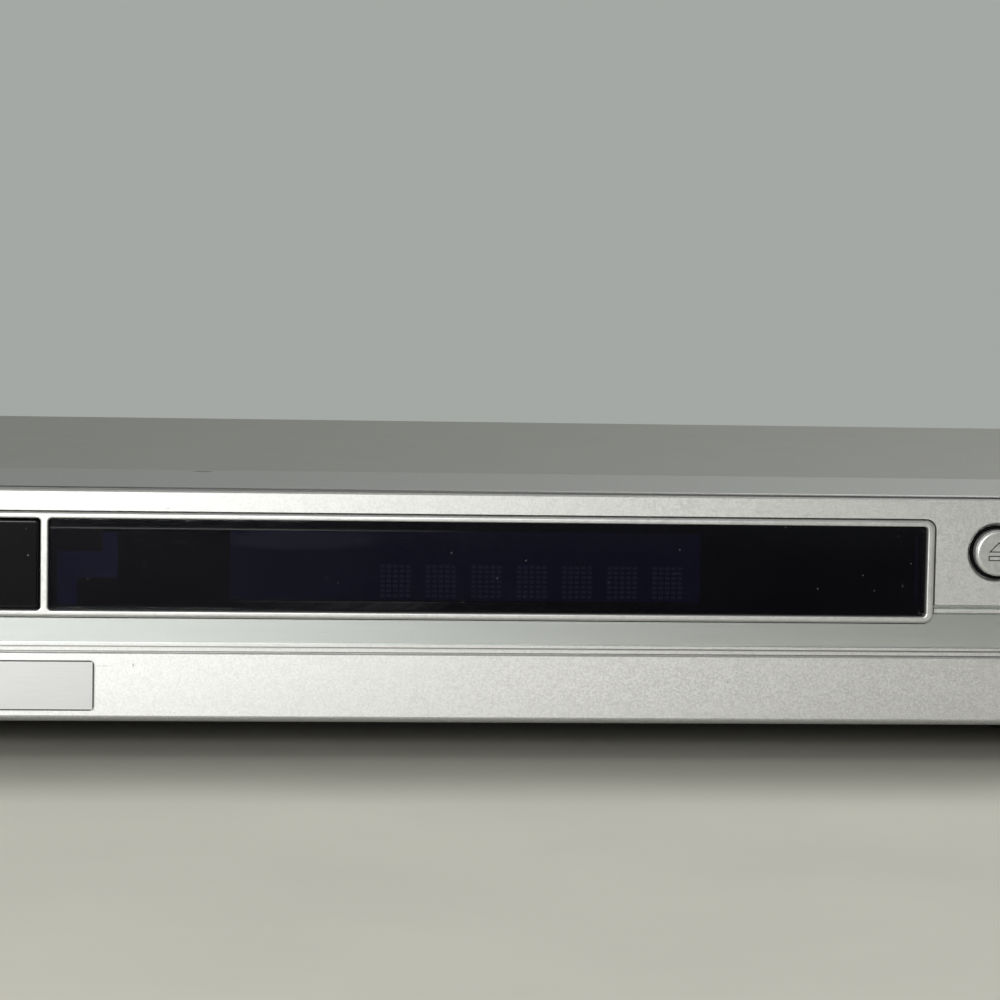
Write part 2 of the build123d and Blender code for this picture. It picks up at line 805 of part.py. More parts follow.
with BuildPart() as feet:
    with BuildSketch(Plane.XZ):
        with BuildLine():
            Polyline(
                (0, foot_height + 2.0),
                (2.9, foot_height + 2.0),
                (2.9, foot_height),
                (foot_radius, foot_height),
                (foot_radius, foot_height - 1.2),
            )
            ThreePointArc(
                (foot_radius, foot_height - 1.2),
                (foot_radius - 2.6, 1.6),
                (foot_radius - 6.5, pad_proud),
            )
            Polyline(
                (foot_radius - 6.5, pad_proud),
                (pad_radius + fit_gap, pad_proud),
                (pad_radius + fit_gap, pad_proud + pad_depth),
                (0, pad_proud + pad_depth),
                (0, foot_height + 2.0),
            )
        make_face()
    foot_ring = revolve(axis=Axis.Z, mode=Mode.PRIVATE)
    with Locations(*foot_places):
        add(foot_ring)
feet.part.label = "feet"
export_step(feet.part, "parts/feet.step")

with BuildPart() as foot_pads:
    with Locations(*foot_places):
        post(pad_radius, 0, pad_proud + pad_depth)
foot_pads.part.label = "foot_pads"
export_step(foot_pads.part, "parts/foot_pads.step")

# Jacks on the back
with BuildPart() as rca_housing:
    with BuildSketch(Plane.XZ.offset(-(panel_y - sheet))):
        with Locations(
            (
                jack_left + jack_pitch * (jack_columns - 1) / 2,
                (board_z + board + jack_z + jack_row_pitch + 6.5) / 2,
            )
        ):
            Rectangle(
                jack_pitch * jack_columns - 0.8, jack_z + jack_row_pitch + 6.5 - board_z - board
            )
    extrude(amount=jack_body)
    with BuildSketch(Plane.XZ.offset(-(panel_y - sheet))):
        with Locations(*jack_places):
            Circle(jack_neck)
    extrude(amount=jack_seat, mode=Mode.SUBTRACT)
rca_housing.part.label = "rca_housing"
export_step(rca_housing.part, "parts/rca_housing.step")

with BuildPart() as rca_barrels:
    with BuildSketch(Plane.XZ.offset(-depth / 2)):
        with Locations(*jack_places):
            Circle(jack_neck)
    extrude(amount=depth / 2 - panel_y + sheet + jack_seat)
    with BuildSketch(Plane.XZ.offset(-depth / 2)):
        with Locations(*jack_places):
            Circle(jack_radius)
    extrude(amount=depth / 2 - panel_y - jack_collar_proud - jack_neck_proud)
    chamfer(rca_barrels.faces().sort_by(Axis.Y)[-len(jack_places):].edges(), jack_chamfer)
    with BuildSketch(Plane.XZ.offset(-depth / 2)):
        with Locations(*jack_places):
            Circle(jack_bore)
    extrude(amount=depth / 2 - panel_y + sheet + jack_seat - 2.0, mode=Mode.SUBTRACT)
rca_barrels.part.label = "rca_barrels"
export_step(rca_barrels.part, "parts/rca_barrels.step")

with BuildPart() as rca_collars:
    with BuildSketch(Plane.XZ.offset(-(panel_y + jack_collar_proud))):
        with Locations(*jack_places):
            Circle(jack_collar)
            Circle(jack_neck + press_gap, mode=Mode.SUBTRACT)
    extrude(amount=jack_collar_proud + sheet)
    with BuildSketch(Plane.XZ.offset(-(depth / 2 - 0.8))):
        with Locations(*jack_places):
            Circle(jack_bore - press_gap)
            Circle(jack_pin_bore, mode=Mode.SUBTRACT)
    extrude(amount=depth / 2 - 0.8 - panel_y + sheet + jack_seat - 2.0)
rca_collars.part.label = "rca_collars"
export_step(rca_collars.part, "parts/rca_collars.step")

with BuildPart() as power_inlet:
    with BuildSketch(back.offset(-0.6)):
        with Locations((inlet_x, inlet_z)):
            RectangleRounded(*inlet_size, 1.0)
    extrude(amount=inlet_depth + 3.0)
    with BuildSketch(back.offset(-0.6)):
        with Locations((inlet_x, inlet_z)):
            RectangleRounded(inlet_size[0] + 3, inlet_size[1] + 2, 1.4)
    extrude(amount=0.6)
    with BuildSketch(back.offset(-0.6)):
        with Locations((inlet_x, inlet_z)):
            SlotOverall(*inlet_socket)
    extrude(amount=inlet_depth, mode=Mode.SUBTRACT)
    with BuildSketch(back.offset(inlet_depth - 0.6)):
        with Locations((inlet_x, inlet_z)):
            with GridLocations(inlet_pin_pitch, 0, 2, 1):
                Circle(inlet_pin_radius + press_gap)
    extrude(amount=3.0, mode=Mode.SUBTRACT)
power_inlet.part.label = "power_inlet"
export_step(power_inlet.part, "parts/power_inlet.step")

with BuildPart() as inlet_pins:
    with BuildSketch(back.offset(inlet_depth + 2.4)):
        with Locations((inlet_x, inlet_z)):
            with GridLocations(inlet_pin_pitch, 0, 2, 1):
                Circle(inlet_pin_radius)
    extrude(amount=-(inlet_depth + 0.4))
inlet_pins.part.label = "inlet_pins"
export_step(inlet_pins.part, "parts/inlet_pins.step")

# Boards on the pan
with BuildPart() as main_board:
    with BuildSketch(Plane.XY.offset(board_z)):
        with Locations((61, 29)):
            Rectangle(114, 106)
        with Locations(*board_holes):
            Circle(1.6, mode=Mode.SUBTRACT)
    extrude(amount=board)
main_board.part.label = "main_board"
export_step(main_board.part, "parts/main_board.step")

chip_sizes = [
    (60, 15, 24, 24, 2.4),
    (90, 18, 11, 18, 1.2),
    (34, 40, 12, 12, 1.4),
    (60, 46, 9, 6, 1.6),
    (88, 46, 16, 9, 1.6),
    (54, -8, 18, 8, 1.6),
    (100, -14, 8, 12, 1.8),
    (30, 18, 6, 20, 1.2),
]
with BuildPart() as board_chips:
    for x, y, across, along, thick in chip_sizes:
        box_between(
            (x - across / 2, y - along / 2, board_z + board),
            (x + across / 2, y + along / 2, board_z + board + thick),
        )
board_chips.part.label = "board_chips"
export_step(board_chips.part, "parts/board_chips.step")

with BuildPart() as power_board:
    with BuildSketch(Plane.XY.offset(board_z)):
        with Locations((167, 24)):
            Rectangle(78, 128)
        with Locations(*power_holes):
            Circle(1.6, mode=Mode.SUBTRACT)
    extrude(amount=board)
power_board.part.label = "power_board"
export_step(power_board.part, "parts/power_board.step")

top_of_board = board_z + board
with BuildPart() as transformer:
    box_between((146, 6, top_of_board), (174, 30, top_of_board + 3))
    box_between((150, 10, top_of_board + 3), (170, 26, top_of_board + 16))
    box_between((146, 6, top_of_board + 16), (174, 30, top_of_board + 19))
    box_between((146, 14, top_of_board + 3), (150, 22, top_of_board + 16))
    box_between((170, 14, top_of_board + 3), (174, 22, top_of_board + 16))
transformer.part.label = "transformer"
export_step(transformer.part, "parts/transformer.step")

capacitor_places = [
    (190, 28, 8.0, 22.0),
    (140, -18, 4.0, 14.0),
    (152, -18, 4.0, 14.0),
    (140, 44, 5.0, 16.0),
]
with BuildPart() as capacitors:
    for x, y, radius, tall in capacitor_places:
        with Locations((x, y, 0)):
            post(radius, top_of_board, top_of_board + tall)
    can_tops = capacitors.edges().filter_by(GeomType.CIRCLE).filter_by(
        lambda e: e.center().Z > top_of_board + 1
    )
    fillet(can_tops, 0.6)
capacitors.part.label = "capacitors"
export_step(capacitors.part, "parts/capacitors.step")

with BuildPart() as heat_sink:
    with BuildSketch(Plane.XY.offset(top_of_board)):
        with Locations((190, 0)):
            Rectangle(2.0, 34)
        with Locations((186, 0)):
            with GridLocations(0, 8.0, 1, 5):
                Rectangle(8.0, 1.4)
    extrude(amount=20)
heat_sink.part.label = "heat_sink"
export_step(heat_sink.part, "parts/heat_sink.step")

ribbon = 0.4
with BuildPart() as ribbon_cables:
    # From the main board forward to the front board
    with BuildSketch(Plane.YZ.offset(24)):
        with BuildLine():
            Polyline(
                (-8, top_of_board),
                (-8, top_of_board + 4),
                (-60, top_of_board + 10),
                (front_board_y + board, 24),
                (front_board_y + board, 24 + ribbon),
                (-60, top_of_board + 10 + ribbon),
                (-8 + 2, top_of_board + 4 + ribbon),
                (-8 + 2, top_of_board),
                close=True,
            )
        make_face()
    extrude(amount=12)
    # From the main board across to the loader
    with BuildSketch(Plane.XZ.offset(-20)):
        with BuildLine():
            Polyline(
                (12, top_of_board),
                (12, top_of_board + 5),
                (tray_x + loader_outer, 20),
                (tray_x + loader_outer, 20 + ribbon),
                (12 + 2, top_of_board + 5 + ribbon),
                (12 + 2, top_of_board),
                close=True,
            )
        make_face()
    extrude(amount=-16)
ribbon_cables.part.label = "ribbon_cables"
export_step(ribbon_cables.part, "parts/ribbon_cables.step")

# Disc tray
with BuildPart() as disc_tray:
    with BuildSketch(Plane.XY.offset(tray_under)):
        with Locations((tray_x, (tray_front + tray_rear) / 2)):
            RectangleRounded(tray_width, tray_rear - tray_front, 2.0)
    extrude(amount=tray_top - tray_under)
    # Hollow under the corners outside the round recess
    with BuildSketch(Plane.XY.offset(tray_under)):
        with Locations((tray_x, (tray_front + tray_rear) / 2)):
            Rectangle(tray_width - 2 * skirt_wall, tray_rear - tray_front - 2 * skirt_wall)
        with Locations((tray_x, disc_y)):
            Circle(finger_reach + finger_radius + 0.8, mode=Mode.SUBTRACT)
        with Locations((tray_x, disc_y + tray_slot_length / 2)):
            SlotCenterToCenter(
                tray_slot_length, 2 * tray_slot + 3.2, rotation=90, mode=Mode.SUBTRACT
            )
        with Locations((tray_x + rack_x + 3.6, disc_y)):
            Rectangle(7.0, 200, mode=Mode.SUBTRACT)
    extrude(amount=tray_top - tray_under - tray_skin, mode=Mode.SUBTRACT)
    for radius, level in ((disc_recess, disc_z), (small_recess, small_z)):
        with BuildSketch(Plane.XY.offset(tray_top)):
            with Locations((tray_x, disc_y)):
                Circle(radius)
        extrude(amount=level - tray_top, mode=Mode.SUBTRACT)
    with BuildSketch(Plane.XY.offset(tray_top)):
        with Locations((tray_x, disc_y + tray_slot_length / 2)):
            SlotCenterToCenter(tray_slot_length, 2 * tray_slot, rotation=90)
        # Finger cut-outs at the rim
        with Locations((tray_x - finger_reach, disc_y), (tray_x + finger_reach, disc_y)):
            Circle(finger_radius)
    extrude(amount=disc_z - tray_top, mode=Mode.SUBTRACT)
    with BuildSketch(Plane.XY.offset(tray_top)):
        with Locations((tray_x, disc_y + tray_slot_length / 2)):
            SlotCenterToCenter(tray_slot_length, 2 * tray_slot, rotation=90)
    extrude(amount=tray_under - tray_top, mode=Mode.SUBTRACT)
    # Skirts that ride on the rails
    for side in (-1, 1):
        with BuildSketch(Plane.XY.offset(skirt_z)):
            skirt_x = tray_x + side * (tray_width - skirt_wall) / 2
            with Locations((skirt_x, (tray_front + tray_rear) / 2)):
                Rectangle(skirt_wall, tray_rear - tray_front - 4)
        extrude(amount=skirt_depth)
    # Front wall behind the door
    box_between(
        (tray_x - tray_width / 2 + 1, tray_front, opening_low + 1.6),
        (tray_x + tray_width / 2 - 1, tray_front + 2.0, tray_under + 0.1),
    )
    # Rack, meshing with the drive gear on its left
    rack_pitch = pi * rack_module
    rack_rear = tray_rear - 5.0
    rack_teeth = floor((rack_rear - (gear_y - 8.0)) / rack_pitch)
    box_between(
        (tray_x + rack_x + 1.25 * rack_module, gear_y - 10.0, skirt_z),
        (tray_x + rack_x + 6.0, rack_rear, tray_under + 0.1),
    )
    half_tooth = rack_pitch / 4 - gear_backlash / 2
    with BuildSketch(Plane.XY.offset(skirt_z)):
        for tooth in range(-2, rack_teeth - 2):
            y = gear_y + (tooth + 0.5) * rack_pitch
            reach = [
                (rack_x + 1.3 * rack_module, half_tooth + 1.3 * rack_module * tan(radians(20))),
                (rack_x - 0.9 * rack_module, half_tooth - 0.9 * rack_module * tan(radians(20))),
            ]
            with BuildLine():
                Polyline(
                    (tray_x + reach[0][0], y - reach[0][1]),
                    (tray_x + reach[1][0], y - reach[1][1]),
                    (tray_x + reach[1][0], y + reach[1][1]),
                    (tray_x + reach[0][0], y + reach[0][1]),
                    close=True,
                )
            make_face()
    extrude(amount=tray_under - skirt_z + 0.1)
disc_tray.part.label = "disc_tray"
export_step(disc_tray.part, "parts/disc_tray.step")

# Gear heights, from the tray's rack down to the deck
upper_low = skirt_z + 0.1
upper_high = tray_under - 0.4
wheel_high = upper_low - 1.0
wheel_low = wheel_high - 3.2
pulley_high = wheel_low - 0.8
pulley_low = pulley_high - 3.4
deck_high = pulley_low - 0.6
deck_low = deck_high - gear_deck
drive_x = tray_x + rack_x - rack_gear_teeth * rack_module / 2
wheel_distance = (wheel_teeth + pinion_teeth) * wheel_module / 2
pulley_x = drive_x - wheel_distance
motor_x = tray_x + motor_pulley_x
slider_y = gear_y + (wheel_teeth * wheel_module / 2 + wheel_module) + 1.2 + slider_thickness / 2
slider_front = slider_y - slider_thickness / 2
slider_back = slider_y + slider_thickness / 2

# Loader frame
with BuildPart() as loader_frame:
    for side in (-1, 1):
        wall_low = tray_x + min(side * loader_inner, side * loader_outer)
        box_between((wall_low, loader_y, loader_z), (wall_low + loader_wall, loader_rear, bridge_z))
        rail_low = tray_x + min(side * loader_inner, side * (loader_inner - rail_width))
        box_between(
            (rail_low, loader_y, rail_z - rail_thickness), (rail_low + rail_width, loader_rear, rail_z)
        )
        for y in (loader_y + 4, loader_y + 40, loader_rear - 40):
            tab_low = tray_x + min(side * loader_inner, side * (loader_inner - 2.7))
            box_between(
                (tab_low, y, tray_top + slide_gap), (tab_low + 2.7, y + 8, bridge_z)
            )
    box_between(
        (tray_x - loader_inner, loader_y, deck_low),
        (tray_x + loader_inner, slider_front - slide_gap, deck_high),
    )
    box_between(
        (tray_x - loader_inner, hinge_y - 8, loader_z),
        (tray_x + loader_inner, loader_rear, loader_z + 2.0),
    )
    box_between(
        (tray_x - loader_inner, loader_rear - 4.0, loader_z + 2.0),
        (tray_x + loader_inner, loader_rear, tray_top),
    )
    for side in (-1, 1):
        lug = tray_x + min(side * (ring_half + 1.8), side * (ring_half + 5.8))
        with BuildSketch(Plane.YZ.offset(lug)):
            with BuildLine():
                foot_line = Polyline(
                    (hinge_y + 4.5, hinge_z),
                    (hinge_y + 6.0, loader_z + 2.0),
                    (hinge_y - 6.0, loader_z + 2.0),
                    (hinge_y - 4.5, hinge_z),
                )
                ThreePointArc(foot_line @ 1, (hinge_y, hinge_z + 4.5), foot_line @ 0)
            make_face()
            with Locations((hinge_y, hinge_z)):
                Circle(hinge_radius + shaft_gap, mode=Mode.SUBTRACT)
        extrude(amount=4.0)
    # Ears on the pan's standoffs
    for x, y in loader_holes:
        side = 1 if x > tray_x else -1
        with BuildSketch(Plane.XY.offset(loader_z)):
            with Locations((x - side * 2.3, y)):
                RectangleRounded(13.0, 12.0, 2.0)
            with Locations((x, y)):
                Circle(1.6, mode=Mode.SUBTRACT)
        extrude(amount=2.0)
    # Posts for the gears and a hole for the loading motor's shaft
    with Locations((drive_x, gear_y, 0)):
        post(post_radius, deck_high - 0.1, upper_high)
    with Locations((pulley_x, gear_y, 0)):
        post(post_radius, deck_high - 0.1, wheel_high)
    with Locations((motor_x, gear_y, 0)):
        post(3.0, deck_low, deck_high, mode=Mode.SUBTRACT)
loader_frame.part.label = "loader_frame"
export_step(loader_frame.part, "parts/loader_frame.step")

with BuildPart() as clamp_bridge:
    with BuildSketch(Plane.XY.offset(bridge_z)):
        with Locations((tray_x, disc_y)):
            RectangleRounded(2 * loader_outer, 2 * bridge_half, 3.0)
            Circle(2 * bridge_half - 9.0)
            Circle(puck_radius + 0.6, mode=Mode.SUBTRACT)
        with Locations((tray_x - 45, disc_y), (tray_x + 45, disc_y)):
            SlotOverall(26, 9, mode=Mode.SUBTRACT)
    extrude(amount=bridge_thickness)
clamp_bridge.part.label = "clamp_bridge"
export_step(clamp_bridge.part, "parts/clamp_bridge.step")

puck_low = bridge_z + fit_gap
with BuildPart() as clamp_puck:
    with BuildSketch(Plane.XZ.offset(-disc_y)):
        with BuildLine():
            Polyline(
                (0, puck_low + 1.6),
                (hub_top + 0.8, puck_low + 1.6),
                (hub_foot, puck_low),
                (puck_radius, puck_low),
                (puck_radius, bridge_z + bridge_thickness + fit_gap),
                (puck_flange, bridge_z + bridge_thickness + fit_gap),
                (puck_flange, bridge_z + bridge_thickness + fit_gap + puck_flange_thickness),
                (0, bridge_z + bridge_thickness + fit_gap + puck_flange_thickness),
                close=True,
            )
        make_face()
    puck_body = revolve(axis=Axis((0, disc_y, 0), (0, 0, 1)), mode=Mode.PRIVATE)
    with Locations((tray_x, 0, 0)):
        add(puck_body)
clamp_puck.part.label = "clamp_puck"
export_step(clamp_puck.part, "parts/clamp_puck.step")

# Loading gears, motor and belt
with BuildPart() as drive_gear:
    toothed_disc(drive_x, gear_y, wheel_teeth, wheel_module, 0, wheel_low, wheel_high)
    toothed_disc(drive_x, gear_y, rack_gear_teeth, rack_module, 0, upper_low, upper_high)
    with Locations((drive_x, gear_y, 0)):
        post(8.0, wheel_high - 0.1, upper_low + 0.1)
        post(4.0, deck_high + 0.2, wheel_low + 0.1)
        post(post_radius + shaft_gap, deck_high, upper_high, mode=Mode.SUBTRACT)
        with PolarLocations(10.5, 5):
            post(2.4, wheel_low, wheel_high, mode=Mode.SUBTRACT)
drive_gear.part.label = "drive_gear"
export_step(drive_gear.part, "parts/drive_gear.step")

with BuildPart() as pulley_gear:
    toothed_disc(
        pulley_x, gear_y, pinion_teeth, wheel_module, pi / pinion_teeth, pulley_high, wheel_high
    )
    with BuildSketch(Plane.XZ.offset(-gear_y)):
        with BuildLine():
            Polyline(
                (0, pulley_low),
                (pulley_radius + belt, pulley_low),
                (pulley_radius, pulley_low + 1.0),
                (pulley_radius, pulley_high - 1.0),
                (pulley_radius + belt, pulley_high),
                (0, pulley_high),
                close=True,
            )
        make_face()
    pulley = revolve(axis=Axis((0, gear_y, 0), (0, 0, 1)), mode=Mode.PRIVATE)
    with Locations((pulley_x, 0, 0)):
        add(pulley)
    with Locations((pulley_x, gear_y, 0)):
        post(3.6, deck_high + 0.2, pulley_low + 0.1)
        post(post_radius + shaft_gap, deck_high, wheel_high, mode=Mode.SUBTRACT)
pulley_gear.part.label = "pulley_gear"
export_step(pulley_gear.part, "parts/pulley_gear.step")

with BuildPart() as motor_pulley:
    with BuildSketch(Plane.XZ.offset(-gear_y)):
        with BuildLine():
            Polyline(
                (0, deck_low - 4.0),
                (1.0, deck_low - 4.0),
                (1.0, pulley_low),
                (motor_pulley_radius + belt, pulley_low),
                (motor_pulley_radius, pulley_low + 1.0),
                (motor_pulley_radius, pulley_high - 1.0),
                (motor_pulley_radius + belt, pulley_high),
                (0, pulley_high),
                close=True,
            )
        make_face()
    spool = revolve(axis=Axis((0, gear_y, 0), (0, 0, 1)), mode=Mode.PRIVATE)
    with Locations((motor_x, 0, 0)):
        add(spool)
motor_pulley.part.label = "motor_pulley"
export_step(motor_pulley.part, "parts/motor_pulley.step")

with BuildPart() as loading_motor:
    with Locations((motor_x, gear_y, 0)):
        post(motor_radius, foot_height + panel_wall + 0.4, deck_low)
        post(2.9, deck_low - 0.1, deck_low + 1.0)
        post(1.0 + shaft_gap, deck_low - 4.4, deck_low + 1.0, mode=Mode.SUBTRACT)
    for side in (-1, 1):
        with Locations((motor_x, gear_y + side * (motor_radius + 1.9), (floor_z + deck_low) / 2)):
            Box(30, 4, 30, mode=Mode.SUBTRACT)
loading_motor.part.label = "loading_motor"
export_step(loading_motor.part, "parts/loading_motor.step")

# The belt runs straight between the pulleys and round each of them.
belt_span = pulley_x - motor_x
belt_lean = asin((pulley_radius - motor_pulley_radius) / belt_span)


def belt_loop(extra):
    big = pulley_radius + extra
    small = motor_pulley_radius + extra
    turn = (-sin(belt_lean), cos(belt_lean))
    with BuildLine() as loop:
        top = Line(
            (motor_x + small * turn[0], gear_y + small * turn[1]),
            (pulley_x + big * turn[0], gear_y + big * turn[1]),
        )
        ThreePointArc(
            top @ 1, (pulley_x + big, gear_y), (pulley_x + big * turn[0], gear_y - big * turn[1])
        )
        low = Line(
            (pulley_x + big * turn[0], gear_y - big * turn[1]),
            (motor_x + small * turn[0], gear_y - small * turn[1]),
        )
        ThreePointArc(low @ 1, (motor_x - small, gear_y), top @ 0)
    return loop.line.edges()


with BuildPart() as drive_belt:
    belt_middle = (pulley_low + pulley_high) / 2
    with BuildSketch(Plane.XY.offset(belt_middle - belt / 2)):
        make_face(belt_loop(shaft_gap + belt))
    extrude(amount=belt)
    with BuildSketch(Plane.XY.offset(belt_middle - belt / 2)):
        make_face(belt_loop(shaft_gap))
    extrude(amount=belt, mode=Mode.SUBTRACT)
drive_belt.part.label = "drive_belt"
export_step(drive_belt.part, "parts/drive_belt.step")

# Cam slider: its slot takes the traverse's pin from low at rest to level
pin_level = hinge_z
pin_low = hinge_z - (hinge_y - slider_y) * tan(radians(tilt))
pin_x = tray_x - 4.0
slot_clearance = 0.35
slot_run = slider_travel
slot_rise = pin_level - pin_low
slider_low = pin_low - 3.4
slider_high = min(pin_level + 3.2, rail_z)
with BuildPart() as cam_slider:
    with BuildSketch(Plane.XZ.offset(-slider_front)):
        with BuildLine():
            Polyline(
                (pin_x - slot_run - 9, slider_low + 6),
                (pin_x - 10, slider_low),
                (pin_x + 32, slider_low),
                (pin_x + 32, slider_high - 5),
                (pin_x + 6, slider_high),
                (pin_x - slot_run - 9, slider_high),
                close=True,
            )
        make_face()
        with Locations((pin_x - slot_run / 2, (pin_low + pin_level) / 2)):
            SlotCenterToCenter(
                sqrt(slot_run**2 + slot_rise**2),
                2 * (pin_radius + slot_clearance),
                rotation=-degrees(atan2(slot_rise, slot_run)),
                mode=Mode.SUBTRACT,
            )
    extrude(amount=-slider_thickness)
    box_between(
        (pin_x - slot_run - 9, slider_front - 3.6, deck_high + 0.2),
        (pin_x + 32, slider_front + 0.1, deck_high + 1.8),
    )
cam_slider.part.label = "cam_slider"
export_step(cam_slider.part, "parts/cam_slider.step")

# Traverse, built in its own plane: +Y runs back up the frame to the hinge, so reach is -Y
spindle_motor_low = damper_height - 1.0 + base_thickness
base_low = damper_height - 1.0
pickup_mid = spindle_reach - pickup_inner

with BuildPart(traverse_plane) as traverse_frame:
    box_between(
        (-ring_half, -ring_nose, -ring_half_height), (ring_half, ring_tail, ring_half_height)
    )
    box_between(
        (-ring_half + ring_wall, -ring_nose + 4, -ring_half_height),
        (ring_half - ring_wall, ring_tail - 8, ring_half_height),
        mode=Mode.SUBTRACT,
    )
    for side in (-1, 1):
        for reach in (damper_rear, damper_front):
            box_between(
                (side * damper_x - 4.2, -reach - 4.2, -ring_half_height),
                (side * damper_x + 4.2, -reach + 4.2, -1.0),
            )
        with Locations((side * (ring_half - 0.1), 0, 0)):
            with Locations(Rotation(0, 90 * side, 0)):
                Cylinder(hinge_radius, hinge_reach, align=(Align.CENTER, Align.CENTER, Align.MIN))
    with Locations(((pin_x - tray_x), -ring_nose + 0.1, 0)):
        Cylinder(
            pin_radius,
            hinge_y - slider_front - ring_nose - slide_gap,
            rotation=(90, 0, 0),
            align=(Align.CENTER, Align.CENTER, Align.MIN),
        )
traverse_frame.part.label = "traverse_frame"
export_step(traverse_frame.part, "parts/traverse_frame.step")

damper_spots = [
    (side * damper_x, -reach) for side in (-1, 1) for reach in (damper_rear, damper_front)
]
with BuildPart(traverse_plane) as dampers:
    with Locations(*damper_spots):
        post(damper_radius, -1.0, base_low)
        post(damper_radius + 0.4, 0.2, 1.0)
dampers.part.label = "dampers"
export_step(dampers.part, "parts/dampers.step")

window_low = -(pickup_mid + 11.0)
window_high = -(pickup_mid - pickup_travel - 11.0)
bearing_y = window_high - 5.0
with BuildPart(traverse_plane) as sled_base:
    with BuildSketch(traverse_plane.offset(base_low)):
        with Locations((0, -(damper_rear + damper_front) / 2)):
            RectangleRounded(
                2 * damper_x + 7, damper_front - damper_rear + 8, 3.0
            )
        with Locations((0, (window_low + window_high) / 2)):
            RectangleRounded(2 * rod_x + 8, window_high - window_low, 1.5, mode=Mode.SUBTRACT)
        with Locations((0, -spindle_reach)):
            Circle(3.1, mode=Mode.SUBTRACT)
        with Locations((-22, -100), (22, -100)):
            Circle(4.0, mode=Mode.SUBTRACT)
    extrude(amount=base_thickness)
    for side in (-1, 1):
        for reach in (-window_low + 0.1, -window_high - 3.5):
            box_between(
                (side * rod_x - 2.6, -reach - 3.4, rod_z - 2.4),
                (side * rod_x + 2.6, -reach, base_low + 0.1),
            )
        with Locations((side * rod_x, window_low - 1.8, rod_z)):
            Cylinder(
                rod_radius + 0.01,
                window_high - window_low + 3.6,
                rotation=(-90, 0, 0),
                align=(Align.CENTER, Align.CENTER, Align.MIN),
                mode=Mode.SUBTRACT,
            )
    # Bearing for the far end of the sled screw
    box_between(
        (screw_x - 2.6, bearing_y, screw_z - 2.4), (screw_x + 2.6, bearing_y + 2.4, base_low + 0.1)
    )
    with Locations((screw_x, bearing_y, screw_z)):
        Cylinder(
            1.0 + shaft_gap,
            1.8,
            rotation=(-90, 0, 0),
            align=(Align.CENTER, Align.CENTER, Align.MIN),
            mode=Mode.SUBTRACT,
        )
sled_base.part.label = "sled_base"
export_step(sled_base.part, "parts/sled_base.step")

with BuildPart(traverse_plane) as guide_rods:
    for side in (-1, 1):
        with Locations((side * rod_x, window_low - 1.8, rod_z)):
            Cylinder(
                rod_radius,
                window_high - window_low + 3.6,
                rotation=(-90, 0, 0),
                align=(Align.CENTER, Align.CENTER, Align.MIN),
            )
guide_rods.part.label = "guide_rods"
export_step(guide_rods.part, "parts/guide_rods.step")

base_high = base_low + base_thickness
with BuildPart(traverse_plane) as spindle_motor:
    with Locations((0, -spindle_reach, 0)):
        post(12.8, base_high, base_high + 1.6)
        post(10.4, base_high + 1.5, platter_height - 3.4)
        post(4.4, base_high + 1.6, platter_height - 3.4, mode=Mode.SUBTRACT)
        with PolarLocations(10.4, 9):
            post(1.1, base_high + 1.6, platter_height - 3.4, mode=Mode.SUBTRACT)
        post(3.0, base_low - 1.0, platter_height - 3.4)
        post(1.0 + shaft_gap, base_low - 0.4, platter_height, mode=Mode.SUBTRACT)
spindle_motor.part.label = "spindle_motor"
export_step(spindle_motor.part, "parts/spindle_motor.step")

with BuildPart() as turntable:
    with BuildSketch(Plane.XZ):
        with BuildLine():
            Polyline(
                (0, base_low),
                (1.0, base_low),
                (1.0, platter_height - 3.0),
                (11.4, platter_height - 3.0),
                (11.4, base_high + 2.0),
                (12.5, base_high + 2.0),
                (12.5, platter_height - 1.6),
                (13.4, platter_height - 1.6),
                (13.4, platter_height),
                (7.2, platter_height),
                (hub_foot, platter_height + 1.1),
                (hub_top, platter_height + 2.0),
                (0, platter_height + 2.0),
                close=True,
            )
        make_face()
    turntable_body = revolve(axis=Axis.Z, mode=Mode.PRIVATE)
    with Locations(traverse_plane.location * Location((0, -spindle_reach, 0))):
        add(turntable_body)
turntable.part.label = "turntable"
export_step(turntable.part, "parts/turntable.step")

with BuildPart(traverse_plane) as pickup:
    with BuildSketch(traverse_plane.offset(-3.5)):
        with Locations((0, -pickup_mid)):
            RectangleRounded(2 * (rod_x - 4.0), 18, 2.0)
    extrude(amount=9.0)
    for side in (-1, 1):
        with Locations((side * rod_x, -pickup_mid - 8.0, rod_z)):
            Cylinder(
                rod_radius + 1.6, 16.0, rotation=(-90, 0, 0), align=(Align.CENTER, Align.CENTER, Align.MIN)
            )
        box_between(
            (min(side * 15.8, side * (rod_x - 1.0)), -pickup_mid - 8.0, rod_z - 1.5),
            (max(side * 15.8, side * (rod_x - 1.0)), -pickup_mid + 8.0, rod_z + 1.5),
        )
        with Locations((side * rod_x, -pickup_mid - 8.0, rod_z)):
            Cylinder(
                rod_radius + shaft_gap,
                16.0,
                rotation=(-90, 0, 0),
                align=(Align.CENTER, Align.CENTER, Align.MIN),
                mode=Mode.SUBTRACT,
            )
    # Finger that follows the sled screw
    box_between(
        (screw_x - 1.6, -pickup_mid - 4.0, screw_z + rod_radius + 0.15),
        (-rod_x - rod_radius - 0.7, -pickup_mid + 4.0, rod_z + 0.8),
    )
    # Base and magnets of the lens's drive
    with BuildSketch(traverse_plane.offset(5.4)):
        with Locations((0, -pickup_mid)):
            RectangleRounded(20, 14, 1.0)
    extrude(amount=1.0)
    for side in (-1, 1):
        box_between(
            (-4.5, -pickup_mid + side * 5.6 - 1.0, 6.3), (4.5, -pickup_mid + side * 5.6 + 1.0, 9.6)
        )
pickup.part.label = "pickup"
export_step(pickup.part, "parts/pickup.step")

